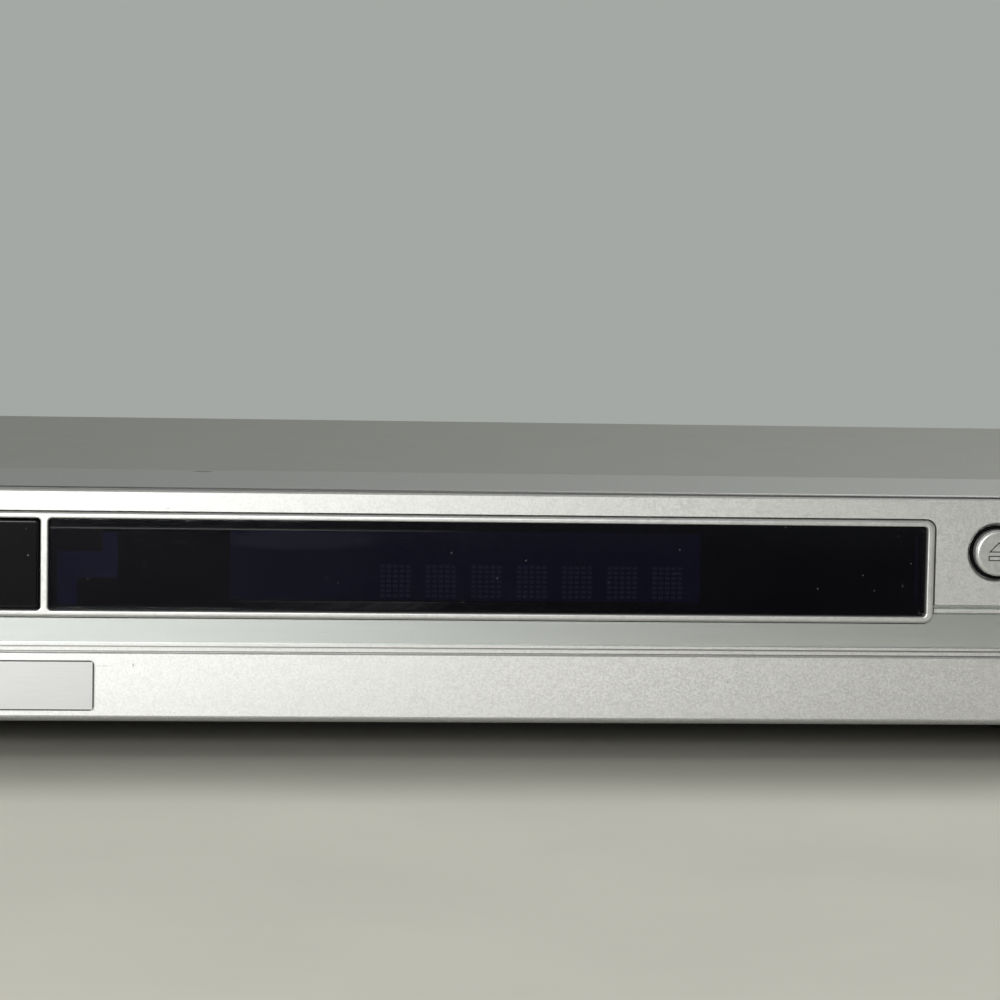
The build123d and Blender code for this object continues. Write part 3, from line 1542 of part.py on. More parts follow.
with BuildPart(traverse_plane) as pickup_lens:
    with BuildSketch(traverse_plane.offset(7.4)):
        with Locations((0, -pickup_mid)):
            RectangleRounded(14, 8.0, 1.0)
    extrude(amount=2.4)
    with BuildSketch(traverse_plane.offset(9.7)):
        with Locations((0, -pickup_mid)):
            Circle(2.6)
    extrude(amount=0.5)
    with BuildSketch(traverse_plane.offset(10.1)):
        with Locations((0, -pickup_mid)):
            Circle(2.0)
    extrude(amount=0.6, taper=40)
pickup_lens.part.label = "pickup_lens"
export_step(pickup_lens.part, "parts/pickup_lens.step")

motor_face = window_low - 4.0
with BuildPart(traverse_plane) as sled_motor:
    with Locations((screw_x, motor_face, screw_z)):
        Cylinder(5.0, 14.0, rotation=(90, 0, 0), align=(Align.CENTER, Align.CENTER, Align.MIN))
        Cylinder(
            1.0 + shaft_gap,
            3.0,
            rotation=(90, 0, 0),
            align=(Align.CENTER, Align.CENTER, Align.MIN),
            mode=Mode.SUBTRACT,
        )
sled_motor.part.label = "sled_motor"
export_step(sled_motor.part, "parts/sled_motor.step")

with BuildPart(traverse_plane) as sled_screw:
    with Locations((screw_x, motor_face - 2.6, screw_z)):
        Cylinder(
            1.0,
            bearing_y + 1.6 - motor_face + 2.6,
            rotation=(-90, 0, 0),
            align=(Align.CENTER, Align.CENTER, Align.MIN),
        )
    with Locations((screw_x, motor_face + 0.6, screw_z)):
        Cylinder(
            rod_radius,
            bearing_y - 0.6 - motor_face - 0.6,
            rotation=(-90, 0, 0),
            align=(Align.CENTER, Align.CENTER, Align.MIN),
        )
sled_screw.part.label = "sled_screw"
export_step(sled_screw.part, "parts/sled_screw.step")

# Screws
head_radius = 3.0
head_height = 1.3


def screw(length):
    """Adds a pan-head screw whose head stands on the plane in hand."""
    Cylinder(head_radius, head_height, align=(Align.CENTER, Align.CENTER, Align.MIN))
    Cylinder(1.15, length, align=(Align.CENTER, Align.CENTER, Align.MAX))
    with Locations((0, 0, head_height)):
        Box(3.4, 0.7, 1.2, mode=Mode.SUBTRACT)
        Box(0.7, 3.4, 1.2, mode=Mode.SUBTRACT)


with BuildPart() as cover_screws:
    for side in (-1, 1):
        for y in side_screw_y:
            x = side * (width / 2 - pan_inset + sheet)
            with Locations((x, y, floor_z + screw_height)):
                with Locations(Rotation(0, 90 * side, 0)):
                    screw(3.0)
cover_screws.part.label = "cover_screws"
export_step(cover_screws.part, "parts/cover_screws.step")

with BuildPart() as rear_screws:
    for places, seat in ((tab_screws, back_y), (edge_screws, panel_y)):
        seat_plane = Plane(origin=(0, seat, 0), x_dir=(-1, 0, 0), z_dir=(0, 1, 0))
        for x, z in places:
            with Locations(seat_plane.location * Location((-x, z, 0))):
                screw(4.0)
rear_screws.part.label = "rear_screws"
export_step(rear_screws.part, "parts/rear_screws.step")

with BuildPart() as inner_screws:
    for x, y in board_holes + power_holes:
        with Locations((x, y, top_of_board)):
            screw(5.0)
    for x, y in loader_holes:
        with Locations((x, y, loader_z + 2.0)):
            screw(5.0)
inner_screws.part.label = "inner_screws"
export_step(inner_screws.part, "parts/inner_screws.step")
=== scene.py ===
import math

import bpy
from mathutils import Matrix, Vector


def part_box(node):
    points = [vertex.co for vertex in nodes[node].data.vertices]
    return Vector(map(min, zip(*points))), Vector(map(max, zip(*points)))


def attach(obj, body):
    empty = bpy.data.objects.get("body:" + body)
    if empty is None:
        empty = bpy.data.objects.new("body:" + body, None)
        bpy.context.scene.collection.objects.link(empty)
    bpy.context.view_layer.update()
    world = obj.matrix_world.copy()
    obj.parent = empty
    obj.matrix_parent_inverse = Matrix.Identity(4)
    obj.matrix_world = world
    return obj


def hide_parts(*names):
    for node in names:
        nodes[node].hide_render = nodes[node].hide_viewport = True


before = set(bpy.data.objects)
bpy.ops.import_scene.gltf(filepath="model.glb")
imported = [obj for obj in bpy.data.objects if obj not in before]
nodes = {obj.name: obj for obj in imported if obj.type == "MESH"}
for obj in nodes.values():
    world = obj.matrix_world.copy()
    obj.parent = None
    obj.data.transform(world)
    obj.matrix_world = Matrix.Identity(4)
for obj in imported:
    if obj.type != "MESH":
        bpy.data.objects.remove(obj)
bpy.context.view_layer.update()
mm = 0.001
print("frame loaded:", len(nodes), "nodes")

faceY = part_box("tray_door")[0].y - 0.1 * mm  # plane of the silver face
tiny = 1e-6  # lengths under this count as none


# Small tools for modelling

def clearSelection():
    bpy.ops.object.select_all(action="DESELECT")


def workOn(piece):
    clearSelection()
    piece.select_set(True)
    bpy.context.view_layer.objects.active = piece


def settle(piece):
    workOn(piece)
    bpy.ops.object.transform_apply(location=True, rotation=True, scale=True)


def pickEdges(piece, test):
    workOn(piece)
    bpy.ops.object.mode_set(mode="EDIT")
    bpy.ops.mesh.select_mode(type="EDGE")
    bpy.ops.mesh.select_all(action="DESELECT")
    bpy.ops.object.mode_set(mode="OBJECT")
    points = piece.data.vertices
    for edge in piece.data.edges:
        a, b = (points[i].co for i in edge.vertices)
        edge.select = test(a, b)
    bpy.ops.object.mode_set(mode="EDIT")


def pickFaces(piece, test):
    workOn(piece)
    bpy.ops.object.mode_set(mode="EDIT")
    bpy.ops.mesh.select_mode(type="FACE")
    bpy.ops.mesh.select_all(action="DESELECT")
    bpy.ops.object.mode_set(mode="OBJECT")
    for face in piece.data.polygons:
        face.select = test(face.normal)
    bpy.ops.object.mode_set(mode="EDIT")


def leaveEdit():
    bpy.ops.object.mode_set(mode="OBJECT")


def applyAll(piece):
    workOn(piece)
    for modifier in list(piece.modifiers):
        bpy.ops.object.modifier_apply(modifier=modifier.name)


def smooth(piece, angle=35):
    workOn(piece)
    bpy.ops.object.shade_smooth_by_angle(angle=math.radians(angle))
    level = piece.modifiers.new("level", "WEIGHTED_NORMAL")  # keeps the large faces flat
    level.keep_sharp = True
    level.weight = 100
    applyAll(piece)


def joinPieces(pieces, name):
    clearSelection()
    for piece in pieces:
        piece.select_set(True)
    bpy.context.view_layer.objects.active = pieces[0]
    if len(pieces) > 1:
        bpy.ops.object.join()
    pieces[0].name = name
    return pieces[0]


def copyTo(piece, shift):
    twin = piece.copy()
    twin.data = piece.data.copy()
    bpy.context.scene.collection.objects.link(twin)
    twin.location = Vector(shift)
    settle(twin)
    return twin


def inRow(piece, count, step):
    row = piece.modifiers.new("row", "ARRAY")
    row.count = count
    row.use_relative_offset = False
    row.use_constant_offset = True
    row.constant_offset_displace = step


def block(name, low, high):
    low, high = Vector(low), Vector(high)
    clearSelection()
    bpy.ops.mesh.primitive_cube_add(size=1, location=(low + high) / 2, scale=high - low)
    piece = bpy.context.object
    piece.name = name
    settle(piece)
    return piece


def frontSlab(name, low, high, corner, edge, steps=5):
    # faces the front, with round corners and a soft front edge
    piece = block(name, low, high)
    pickEdges(piece, lambda a, b: abs(a.y - b.y) > tiny)
    bpy.ops.mesh.bevel(offset=corner, segments=steps, affect="EDGES")
    leaveEdit()
    front = min(v.co.y for v in piece.data.vertices)
    pickEdges(piece, lambda a, b: max(a.y, b.y) < front + tiny)
    bpy.ops.mesh.bevel(offset=edge, segments=3, affect="EDGES")
    leaveEdit()
    smooth(piece)
    return piece


def islandBoxes(node):
    clearSelection()
    source = nodes[node]
    double = source.copy()
    double.data = source.data.copy()
    double.parent = None
    bpy.context.scene.collection.objects.link(double)
    workOn(double)
    bpy.ops.object.mode_set(mode="EDIT")
    bpy.ops.mesh.select_all(action="SELECT")
    bpy.ops.mesh.remove_doubles(threshold=tiny)
    bpy.ops.mesh.separate(type="LOOSE")
    bpy.ops.object.mode_set(mode="OBJECT")
    boxes = []
    for part in list(bpy.context.selected_objects):
        sides = list(zip(*(v.co for v in part.data.vertices)))
        boxes.append((Vector([min(side) for side in sides]), Vector([max(side) for side in sides])))
        bpy.data.objects.remove(part)
    return sorted(boxes, key=lambda box: tuple(round(value, 5) for value in box[0]))


def place(piece, body, finish):
    piece.data.materials.clear()
    piece.data.materials.append(finish)
    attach(piece, body)
    return piece


# Small tools for finishes. Sizes are in metres on Object coordinates.

def newFinish(name, settings):
    finish = bpy.data.materials.new(name)
    finish.use_nodes = True
    shader = finish.node_tree.nodes["Principled BSDF"]
    for socket, value in settings.items():
        shader.inputs[socket].default_value = value
    return finish, finish.node_tree, shader


def pointOn(tree, size, centre=(0, 0, 0)):
    coords = tree.nodes.new("ShaderNodeTexCoord")
    mapping = tree.nodes.new("ShaderNodeMapping")
    mapping.vector_type = "TEXTURE"
    mapping.inputs["Location"].default_value = centre
    mapping.inputs["Scale"].default_value = size if hasattr(size, "__len__") else (size,) * 3
    tree.links.new(coords.outputs["Object"], mapping.inputs["Vector"])
    return mapping.outputs["Vector"]


def grain(tree, size, detail=2.0):
    noise = tree.nodes.new("ShaderNodeTexNoise")
    noise.inputs["Scale"].default_value = 1.0
    noise.inputs["Detail"].default_value = detail
    tree.links.new(pointOn(tree, size), noise.inputs["Vector"])
    return noise.outputs["Fac"]


def flakes(tree, size):
    cells = tree.nodes.new("ShaderNodeTexVoronoi")
    cells.inputs["Scale"].default_value = 1.0
    tree.links.new(pointOn(tree, size), cells.inputs["Vector"])
    split = tree.nodes.new("ShaderNodeSeparateColor")
    tree.links.new(cells.outputs["Color"], split.inputs["Color"])
    return split.outputs[0]


def spread(tree, source, low, high, fromLow=0.3, fromHigh=0.7):
    reach = tree.nodes.new("ShaderNodeMapRange")
    reach.inputs["From Min"].default_value = fromLow
    reach.inputs["From Max"].default_value = fromHigh
    reach.inputs["To Min"].default_value = low
    reach.inputs["To Max"].default_value = high
    tree.links.new(source, reach.inputs["Value"])
    return reach.outputs["Result"]


def reckon(tree, operation, first, second):
    step = tree.nodes.new("ShaderNodeMath")
    step.operation = operation
    for socket, value in zip(step.inputs, (first, second)):
        if isinstance(value, (int, float)):
            socket.default_value = value
        else:
            tree.links.new(value, socket)
    return step.outputs["Value"]


def mixColours(tree, factor, first, second):
    mix = tree.nodes.new("ShaderNodeMix")
    mix.data_type = "RGBA"
    tree.links.new(factor, mix.inputs["Factor"])
    for socket, colour in ((mix.inputs[6], first), (mix.inputs[7], second)):
        if hasattr(colour, "__len__"):
            socket.default_value = (*colour[:3], 1.0)
        else:
            tree.links.new(colour, socket)
    return mix.outputs[2]


def shaded(colour, share):
    return tuple(min(1.0, part * share) for part in colour)


def drifting(tree, source, colour, least, most):
    return mixColours(tree, spread(tree, source, 0, 1), shaded(colour, least), shaded(colour, most))


def bumpFrom(tree, shader, height, depth, strength=1.0):
    bump = tree.nodes.new("ShaderNodeBump")
    bump.inputs["Strength"].default_value = strength
    bump.inputs["Distance"].default_value = depth
    tree.links.new(height, bump.inputs["Height"])
    tree.links.new(bump.outputs["Normal"], shader.inputs["Normal"])


def axisOf(tree, axis):
    coords = tree.nodes.new("ShaderNodeTexCoord")
    split = tree.nodes.new("ShaderNodeSeparateXYZ")
    tree.links.new(coords.outputs["Object"], split.inputs["Vector"])
    return split.outputs[axis]


def band(tree, axis, low, high, soft=0.05 * mm):
    along = axisOf(tree, axis)
    rise = spread(tree, along, 0.0, 1.0, low - soft, low + soft)
    fall = spread(tree, along, 1.0, 0.0, high - soft, high + soft)
    return reckon(tree, "MULTIPLY", rise, fall)


def spot(tree, centre, reach):
    away = tree.nodes.new("ShaderNodeVectorMath")
    away.operation = "LENGTH"
    tree.links.new(pointOn(tree, reach, centre), away.inputs[0])
    return spread(tree, away.outputs["Value"], 1.0, 0.0, 0.6, 1.0)


# Finishes that only differ in their settings

def mouldedFinish(
    name, colour, tone=0.10, size=0.7 * mm, rough=(0.42, 0.58), depth=0.012 * mm, **settings
):
    finish, tree, shader = newFinish(name, settings)
    cloud = grain(tree, size * 12, 3.0)
    fine = grain(tree, size, 2.0)
    tree.links.new(drifting(tree, cloud, colour, 1 - tone, 1 + tone), shader.inputs["Base Color"])
    tree.links.new(spread(tree, fine, *rough), shader.inputs["Roughness"])
    bumpFrom(tree, shader, fine, depth)
    return finish


def brushedFinish(name, colour, along, tone=0.10, rough=(0.28, 0.42), depth=0.004 * mm):
    finish, tree, shader = newFinish(name, {"Metallic": 1.0})
    streaks = grain(tree, tuple(size * mm for size in along), 3.0)
    cloud = grain(tree, 9 * mm, 2.0)
    both = reckon(tree, "MULTIPLY", spread(tree, streaks, 0.5, 1.0), spread(tree, cloud, 0.7, 1.0))
    brushed = mixColours(tree, both, shaded(colour, 1 - tone), shaded(colour, 1 + tone))
    tree.links.new(brushed, shader.inputs["Base Color"])
    tree.links.new(spread(tree, streaks, *rough), shader.inputs["Roughness"])
    bumpFrom(tree, shader, streaks, depth)
    return finish


# Silver front: flake paint, a smoother brushed strip, a little wear, and painted shade on the top facet, in
# the grooves and in the notch at the crease
silverLook = {
    "tone": (0.74, 0.74, 0.715),
    "flake": 0.23 * mm,
    "flakeTone": 0.07,
    "rough": (0.36, 0.46),
    "coat": {"Coat Weight": 0.15, "Coat Roughness": 0.30},
    "cloud": 0.9 * mm,
    "cloudShare": 0.05,
    "cloudTone": 0.8,
    "metal": 0.80,
    "bump": (0.004 * mm, 0.6),
    "stripMetal": 0.97,
    "stripTone": (0.78, 0.815, 0.80),
    "stripRough": 0.27,
    "stripGrain": (14 * mm, 3 * mm, 0.10 * mm),
    "stripDrift": (0.95, 1.04),
    "stripDeep": (0.58 * mm, 1.42 * mm),
    "stripTall": (17.66 * mm, 24.5 * mm),
    # darker tone of the top facet: painted shade
    "topShadeTone": 0.40,
    "topShadeSpan": (42.02 * mm, 42.12 * mm),
    # groove lines and the seam under the top edge: painted shade, near black
    "grooveShadeTone": (0.02, 0.02, 0.02),
    "grooveShadeSoft": (0.04 * mm, 0.02 * mm),
    "shadedGrooves": (
        ((16.16 * mm, 16.40 * mm), 0.45 * mm, 0.35),
        ((16.94 * mm, 17.18 * mm), 0.45 * mm, 0.35),
        ((41.72 * mm, 42.14 * mm), 0.02 * mm, 0.18),
    ),
    "wearAndShadeTone": (0.10, 0.10, 0.09),
    "wearAndShadeMarks": (
        ((-10.3 * mm, -101.4 * mm, 14.2 * mm), (0.16 * mm, 3 * mm, 0.36 * mm), 0.55),
        ((-14.7 * mm, -101.4 * mm, 14.0 * mm), (1.6 * mm, 3 * mm, 0.14 * mm), 0.82),
        ((68.1 * mm, -101.4 * mm, 41.9 * mm), (0.30 * mm, 3 * mm, 0.16 * mm), 0.45),
        ((-5.0 * mm, -101.4 * mm, 38.9 * mm), (0.5 * mm, 3 * mm, 0.10 * mm), 0.7),
        ((84.0 * mm, -101.4 * mm, 12.0 * mm), (0.12 * mm, 3 * mm, 0.18 * mm), 0.6),
        ((150.0 * mm, -101.4 * mm, 9.0 * mm), (0.5 * mm, 3 * mm, 0.10 * mm), 0.75),
        ((-120.0 * mm, -101.4 * mm, 41.0 * mm), (0.4 * mm, 3 * mm, 0.12 * mm), 0.6),
        # the dark notch at the crease is painted shade; the marks above are worn paint
        ((0.0 * mm, -75.2 * mm, 43.0 * mm), (2.0 * mm, 1.4 * mm, 1.0 * mm), 0.05),
    ),
}


def silverPaint():
    look = silverLook
    finish, tree, shader = newFinish("silverPaint", look["coat"])
    sparkle = flakes(tree, look["flake"])
    soft = grain(tree, look["cloud"], 3.0)
    tone, least, most = look["tone"], 1 - look["flakeTone"], 1 + look["flakeTone"]
    paint = mixColours(tree, spread(tree, sparkle, 0, 1, 0, 1), shaded(tone, least), shaded(tone, most))
    cloud = spread(tree, soft, 0.0, look["cloudShare"])
    paint = mixColours(tree, cloud, paint, shaded(tone, look["cloudTone"]))
    near, far = look["stripDeep"]
    deep = band(tree, 1, faceY + near, faceY + far)
    inset = reckon(tree, "MULTIPLY", deep, band(tree, 2, *look["stripTall"]))
    streaks = grain(tree, look["stripGrain"], 3.0)
    colour = mixColours(tree, inset, paint, drifting(tree, streaks, look["stripTone"], *look["stripDrift"]))
    # the top facet above z 42.1 mm is darkened as painted shade
    top = spread(tree, axisOf(tree, 2), 0, 1, *look["topShadeSpan"])
    colour = mixColours(tree, top, colour, shaded(tone, look["topShadeTone"]))
    softDeep, softTall = look["grooveShadeSoft"]
    # inside each groove the paint is darkened to near black as painted shade
    for (bottom, high), deep, share in look["shadedGrooves"]:
        behind = spread(tree, axisOf(tree, 1), 0, 1, faceY + deep, faceY + deep + softDeep)
        grooveShade = reckon(tree, "MULTIPLY", behind, band(tree, 2, bottom, high, softTall))
        colour = mixColours(tree, reckon(tree, "MULTIPLY", grooveShade, 1 - share), colour, look["grooveShadeTone"])
    # worn paint marks, and painted shade in the notch at the crease
    for centre, reach, share in look["wearAndShadeMarks"]:
        wearAndShadeSpot = spot(tree, centre, reach)
        colour = mixColours(tree, reckon(tree, "MULTIPLY", wearAndShadeSpot, 1 - share), colour, look["wearAndShadeTone"])
    tree.links.new(colour, shader.inputs["Base Color"])
    painted = spread(tree, sparkle, *look["rough"], 0, 1)
    smoothed = reckon(tree, "MULTIPLY", inset, look["stripRough"])
    rest = reckon(tree, "MULTIPLY", painted, reckon(tree, "SUBTRACT", 1.0, inset))
    tree.links.new(reckon(tree, "ADD", smoothed, rest), shader.inputs["Roughness"])
    tree.links.new(spread(tree, inset, look["metal"], look["stripMetal"], 0, 1), shader.inputs["Metallic"])
    height = reckon(tree, "MULTIPLY", sparkle, reckon(tree, "SUBTRACT", 1.0, inset))
    bumpFrom(tree, shader, height, *look["bump"])
    return finish


badgeLook = {
    "shine": {"Metallic": 0.7, "Roughness": 0.34},
    "tone": (0.68, 0.685, 0.68),
    "grain": (6 * mm, 2 * mm, 0.15 * mm),
    "drift": (0.97, 1.02),
    "line": 0.20 * mm,
    "lineSoft": 0.02 * mm,
    "edge": (0.06, 0.06, 0.06),
}


def badgeSatin():
    look = badgeLook
    finish, tree, shader = newFinish("badgeSatin", look["shine"])
    low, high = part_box("badge_plate")
    middle, half = (low + high) / 2, (high - low) / 2
    reach = []
    for axis in (0, 2):
        away = reckon(tree, "ABSOLUTE", reckon(tree, "SUBTRACT", axisOf(tree, axis), middle[axis]), 0.0)
        reach.append(reckon(tree, "SUBTRACT", away, half[axis] - look["line"]))
    border = spread(tree, reckon(tree, "MAXIMUM", *reach), 0, 1, -look["lineSoft"], look["lineSoft"])
    plate = drifting(tree, grain(tree, look["grain"], 2.0), look["tone"], *look["drift"])
    tree.links.new(mixColours(tree, border, plate, look["edge"]), shader.inputs["Base Color"])
    return finish


satinLook = {
    "shine": {"Metallic": 0.75, "Coat Weight": 0.1},
    "grain": 0.5 * mm,
    "tones": ((0.70, 0.70, 0.68), (0.78, 0.78, 0.76)),
    "rough": (0.30, 0.38),
    "bump": 0.002 * mm,
}


def satinSilver():
    look = satinLook
    finish, tree, shader = newFinish("satinSilver", look["shine"])
    soft = grain(tree, look["grain"], 3.0)
    tree.links.new(mixColours(tree, spread(tree, soft, 0, 1), *look["tones"]), shader.inputs["Base Color"])
    tree.links.new(spread(tree, soft, *look["rough"]), shader.inputs["Roughness"])
    bumpFrom(tree, shader, soft, look["bump"])
    return finish


lidLook = {
    "shine": {"Metallic": 0.25, "Coat Weight": 0.05},
    "flake": 0.28 * mm,
    "tones": ((0.225, 0.225, 0.20), (0.27, 0.27, 0.245)),
    "cloud": 14 * mm,
    "cloudShare": 0.25,
    "cloudTone": (0.205, 0.205, 0.185),
    "rough": (0.46, 0.58),
    "bump": (0.006 * mm, 0.6),
}


def lidPaint():
    look = lidLook
    finish, tree, shader = newFinish("lidPaint", look["shine"])
    fine = flakes(tree, look["flake"])
    cloud = grain(tree, look["cloud"], 2.0)
    paint = mixColours(tree, spread(tree, fine, 0, 1, 0, 1), *look["tones"])
    paint = mixColours(tree, spread(tree, cloud, 0, look["cloudShare"]), paint, look["cloudTone"])
    tree.links.new(paint, shader.inputs["Base Color"])
    tree.links.new(spread(tree, fine, *look["rough"], 0, 1), shader.inputs["Roughness"])
    bumpFrom(tree, shader, fine, *look["bump"])
    return finish


dustLook = {"cell": 2.6 * mm, "size": 0.030, "share": 0.5, "tone": (0.35, 0.35, 0.35)}


def dusty(tree, colour):
    look = dustLook
    cells = tree.nodes.new("ShaderNodeTexVoronoi")
    cells.inputs["Scale"].default_value = 1.0
    tree.links.new(pointOn(tree, look["cell"]), cells.inputs["Vector"])
    speck = spread(tree, cells.outputs["Distance"], look["share"], 0.0, look["size"], 2 * look["size"])
    return mixColours(tree, speck, colour, look["tone"])


glossLook = {
    "shine": {"IOR": 1.45, "Specular IOR Level": 0.4},
    "haze": 30 * mm,
    "tones": ((0.0025, 0.0025, 0.003), (0.005, 0.005, 0.006)),
    "scuffs": (0.2 * mm, 1 * mm, 3 * mm),
    "rough": (0.03, 0.06),
}


def glossBlack():
    look = glossLook
    finish, tree, shader = newFinish("glossBlack", look["shine"])
    haze = grain(tree, look["haze"], 2.0)
    black = mixColours(tree, spread(tree, haze, 0, 1), *look["tones"])
    tree.links.new(dusty(tree, black), shader.inputs["Base Color"])
    scuffs = grain(tree, look["scuffs"], 4.0)
    tree.links.new(spread(tree, scuffs, *look["rough"], 0.45, 0.75), shader.inputs["Roughness"])
    return finish


windowLook = {
    "shine": {"IOR": 1.49, "Specular IOR Level": 0.4, "Alpha": 0.62},
    "haze": 25 * mm,
    "tones": ((0.002, 0.002, 0.0035), (0.004, 0.004, 0.006)),
    "scuffs": (0.3 * mm, 1 * mm, 2 * mm),
    "rough": (0.02, 0.05),
    # a painted highlight line near the top of the pane
    "line": (35.60 * mm, 35.76 * mm),
    "highlightX": (5 * mm, 45 * mm),
    "highlightShare": 0.16,
    "highlightTone": (0.7, 0.7, 0.7),
    "scratchShare": 0.07,
    "scratchTone": (0.8, 0.8, 0.8),
    "scratches": (
        ((-8.7 * mm, 30.0 * mm), (0.10 * mm, 0.9 * mm)),
        ((-3.0 * mm, 33.6 * mm), (1.3 * mm, 0.06 * mm)),
        ((-15.5 * mm, 34.6 * mm), (0.06 * mm, 0.5 * mm)),
    ),
}


def smokedPane():
    look = windowLook
    finish, tree, shader = newFinish("smokedPane", look["shine"])
    haze = grain(tree, look["haze"], 2.0)
    colour = mixColours(tree, spread(tree, haze, 0, 1), *look["tones"])
    for (x, z), (across, tall) in look["scratches"]:
        scratch = spot(tree, (x, faceY, z), (across, 3 * mm, tall))
        scratch = reckon(tree, "MULTIPLY", scratch, look["scratchShare"])
        colour = mixColours(tree, scratch, colour, look["scratchTone"])
    # painted highlight: a pale line that fades to the right
    along = spread(tree, axisOf(tree, 0), look["highlightShare"], 0.0, *look["highlightX"])
    line = reckon(tree, "MULTIPLY", along, band(tree, 2, *look["line"]))
    colour = mixColours(tree, line, dusty(tree, colour), look["highlightTone"])
    tree.links.new(colour, shader.inputs["Base Color"])
    scuffs = grain(tree, look["scuffs"], 4.0)
    tree.links.new(spread(tree, scuffs, *look["rough"], 0.45, 0.75), shader.inputs["Roughness"])
    return finish


filmLook = {
    "navy": (0.11, 0.10, 0.52),
    "drift": (0.8, 1.15),
    "inner": 0.55,
    "innerX": (-5 * mm, 0),
    # glow is a painted reflection: a lighter navy patch
    "glow": (0.26, 0.26, 0.56),
    "reflectionSpot": (15.6 * mm, 33.9 * mm),
    "reflectionReach": (15 * mm, 1.9 * mm),
}


def navyFilm():
    look = filmLook
    finish, tree, shader = newFinish("navyFilm", {"Roughness": 0.6, "Specular IOR Level": 0.05})
    soft = grain(tree, 6 * mm, 2.0)
    navy = drifting(tree, soft, look["navy"], *look["drift"])
    # a lighter navy patch painted as the reflection seen in the glass
    x, z = look["reflectionSpot"]
    across, tall = look["reflectionReach"]
    glow = spot(tree, (x, faceY, z), (across, 30 * mm, tall))
    inner = spread(tree, axisOf(tree, 0), 0, 1, *look["innerX"])
    navy = mixColours(tree, inner, navy, shaded(look["navy"], look["inner"]))
    tree.links.new(mixColours(tree, glow, navy, look["glow"]), shader.inputs["Base Color"])
    return finish


# a painted highlight on a thin strip under the display
rimHighlightLook = {
    "rise": (4 * mm, 31 * mm),
    "fall": (32 * mm, 40 * mm),
    "tones": ((0.02, 0.02, 0.03), (0.42, 0.42, 0.43)),
}


def tubeRimHighlight():
    look = rimHighlightLook
    finish, tree, shader = newFinish("tubeRimHighlight", {"Roughness": 0.3})
    # light grows along x to 31 mm and fades by 40 mm: a painted highlight
    along = axisOf(tree, 0)
    rise = spread(tree, along, 0.0, 1.0, *look["rise"])
    fall = spread(tree, along, 1.0, 0.0, *look["fall"])
    light = reckon(tree, "MULTIPLY", rise, fall)
    tree.links.new(mixColours(tree, light, *look["tones"]), shader.inputs["Base Color"])
    return finish


boardLook = {
    "shine": {"Coat Weight": 0.3, "Coat Roughness": 0.25},
    "tracks": 4.2 * mm,
    "trackWide": 0.06,
    "trackTone": (0.05, 0.26, 0.10),
    "tones": ((0.015, 0.12, 0.045), (0.025, 0.19, 0.07)),
    "patches": 7 * mm,
    "rough": (0.30, 0.42),
    "bump": 0.02 * mm,
}


def circuitBoard():
    look = boardLook
    finish, tree, shader = newFinish("circuitBoard", look["shine"])
    lines = tree.nodes.new("ShaderNodeTexBrick")
    lines.inputs["Scale"].default_value = 1.0
    lines.inputs["Mortar Size"].default_value = look["trackWide"]
    tree.links.new(pointOn(tree, look["tracks"]), lines.inputs["Vector"])
    broad = grain(tree, look["patches"], 3.0)
    ground = mixColours(tree, spread(tree, broad, 0, 1, 0.45, 0.55), *look["tones"])
    colour = mixColours(tree, lines.outputs["Fac"], ground, look["trackTone"])
    tree.links.new(colour, shader.inputs["Base Color"])
    tree.links.new(spread(tree, broad, *look["rough"]), shader.inputs["Roughness"])
    bumpFrom(tree, shader, lines.outputs["Fac"], look["bump"])
    return finish


jackLook = {
    "rowsPart": (25.2 * mm, 25.3 * mm),
    "columnsPart": (-7.1 * mm, -7.0 * mm),
    "columns": (18 * mm, 32 * mm, 46 * mm, 60 * mm),
    "colours": (
        ((0.02, 0.30, 0.06), (0.80, 0.55, 0.02)),
        ((0.01, 0.05, 0.50), (0.75, 0.74, 0.70)),
        ((0.55, 0.01, 0.01), (0.55, 0.01, 0.01)),
        ((0.75, 0.74, 0.70), (0.85, 0.22, 0.01)),
    ),
}


def jackColours():
    look = jackLook
    finish, tree, shader = newFinish("jackColours", {"Roughness": 0.42})
    upper = spread(tree, axisOf(tree, 2), 0, 1, *look["rowsPart"])
    colour = None
    for x, (low, high) in zip(look["columns"], look["colours"]):
        pair = mixColours(tree, upper, low, high)
        if colour is None:
            colour = pair
        else:
            before, after = look["columnsPart"]
            past = spread(tree, axisOf(tree, 0), 0, 1, x + before, x + after)
            colour = mixColours(tree, past, colour, pair)
    fine = grain(tree, 0.4 * mm, 2.0)
    tree.links.new(colour, shader.inputs["Base Color"])
    bumpFrom(tree, shader, fine, 0.004 * mm)
    return finish


def ribbonStripes():
    finish, tree, shader = newFinish("ribbonStripes", {"Roughness": 0.45})
    wave = tree.nodes.new("ShaderNodeTexWave")
    wave.wave_type = "BANDS"
    wave.bands_direction = "DIAGONAL"
    wave.inputs["Scale"].default_value = 1.0
    tree.links.new(pointOn(tree, (2.0 * mm, 2.0 * mm, 400 * mm)), wave.inputs["Vector"])
    fine = grain(tree, 2 * mm, 2.0)
    pale = mixColours(tree, spread(tree, fine, 0, 1), (0.72, 0.72, 0.69), (0.80, 0.80, 0.77))
    tree.links.new(
        mixColours(tree, spread(tree, wave.outputs["Fac"], 0, 1, 0.5, 0.7), pale, (0.42, 0.42, 0.42)),
        shader.inputs["Base Color"],
    )
    return finish


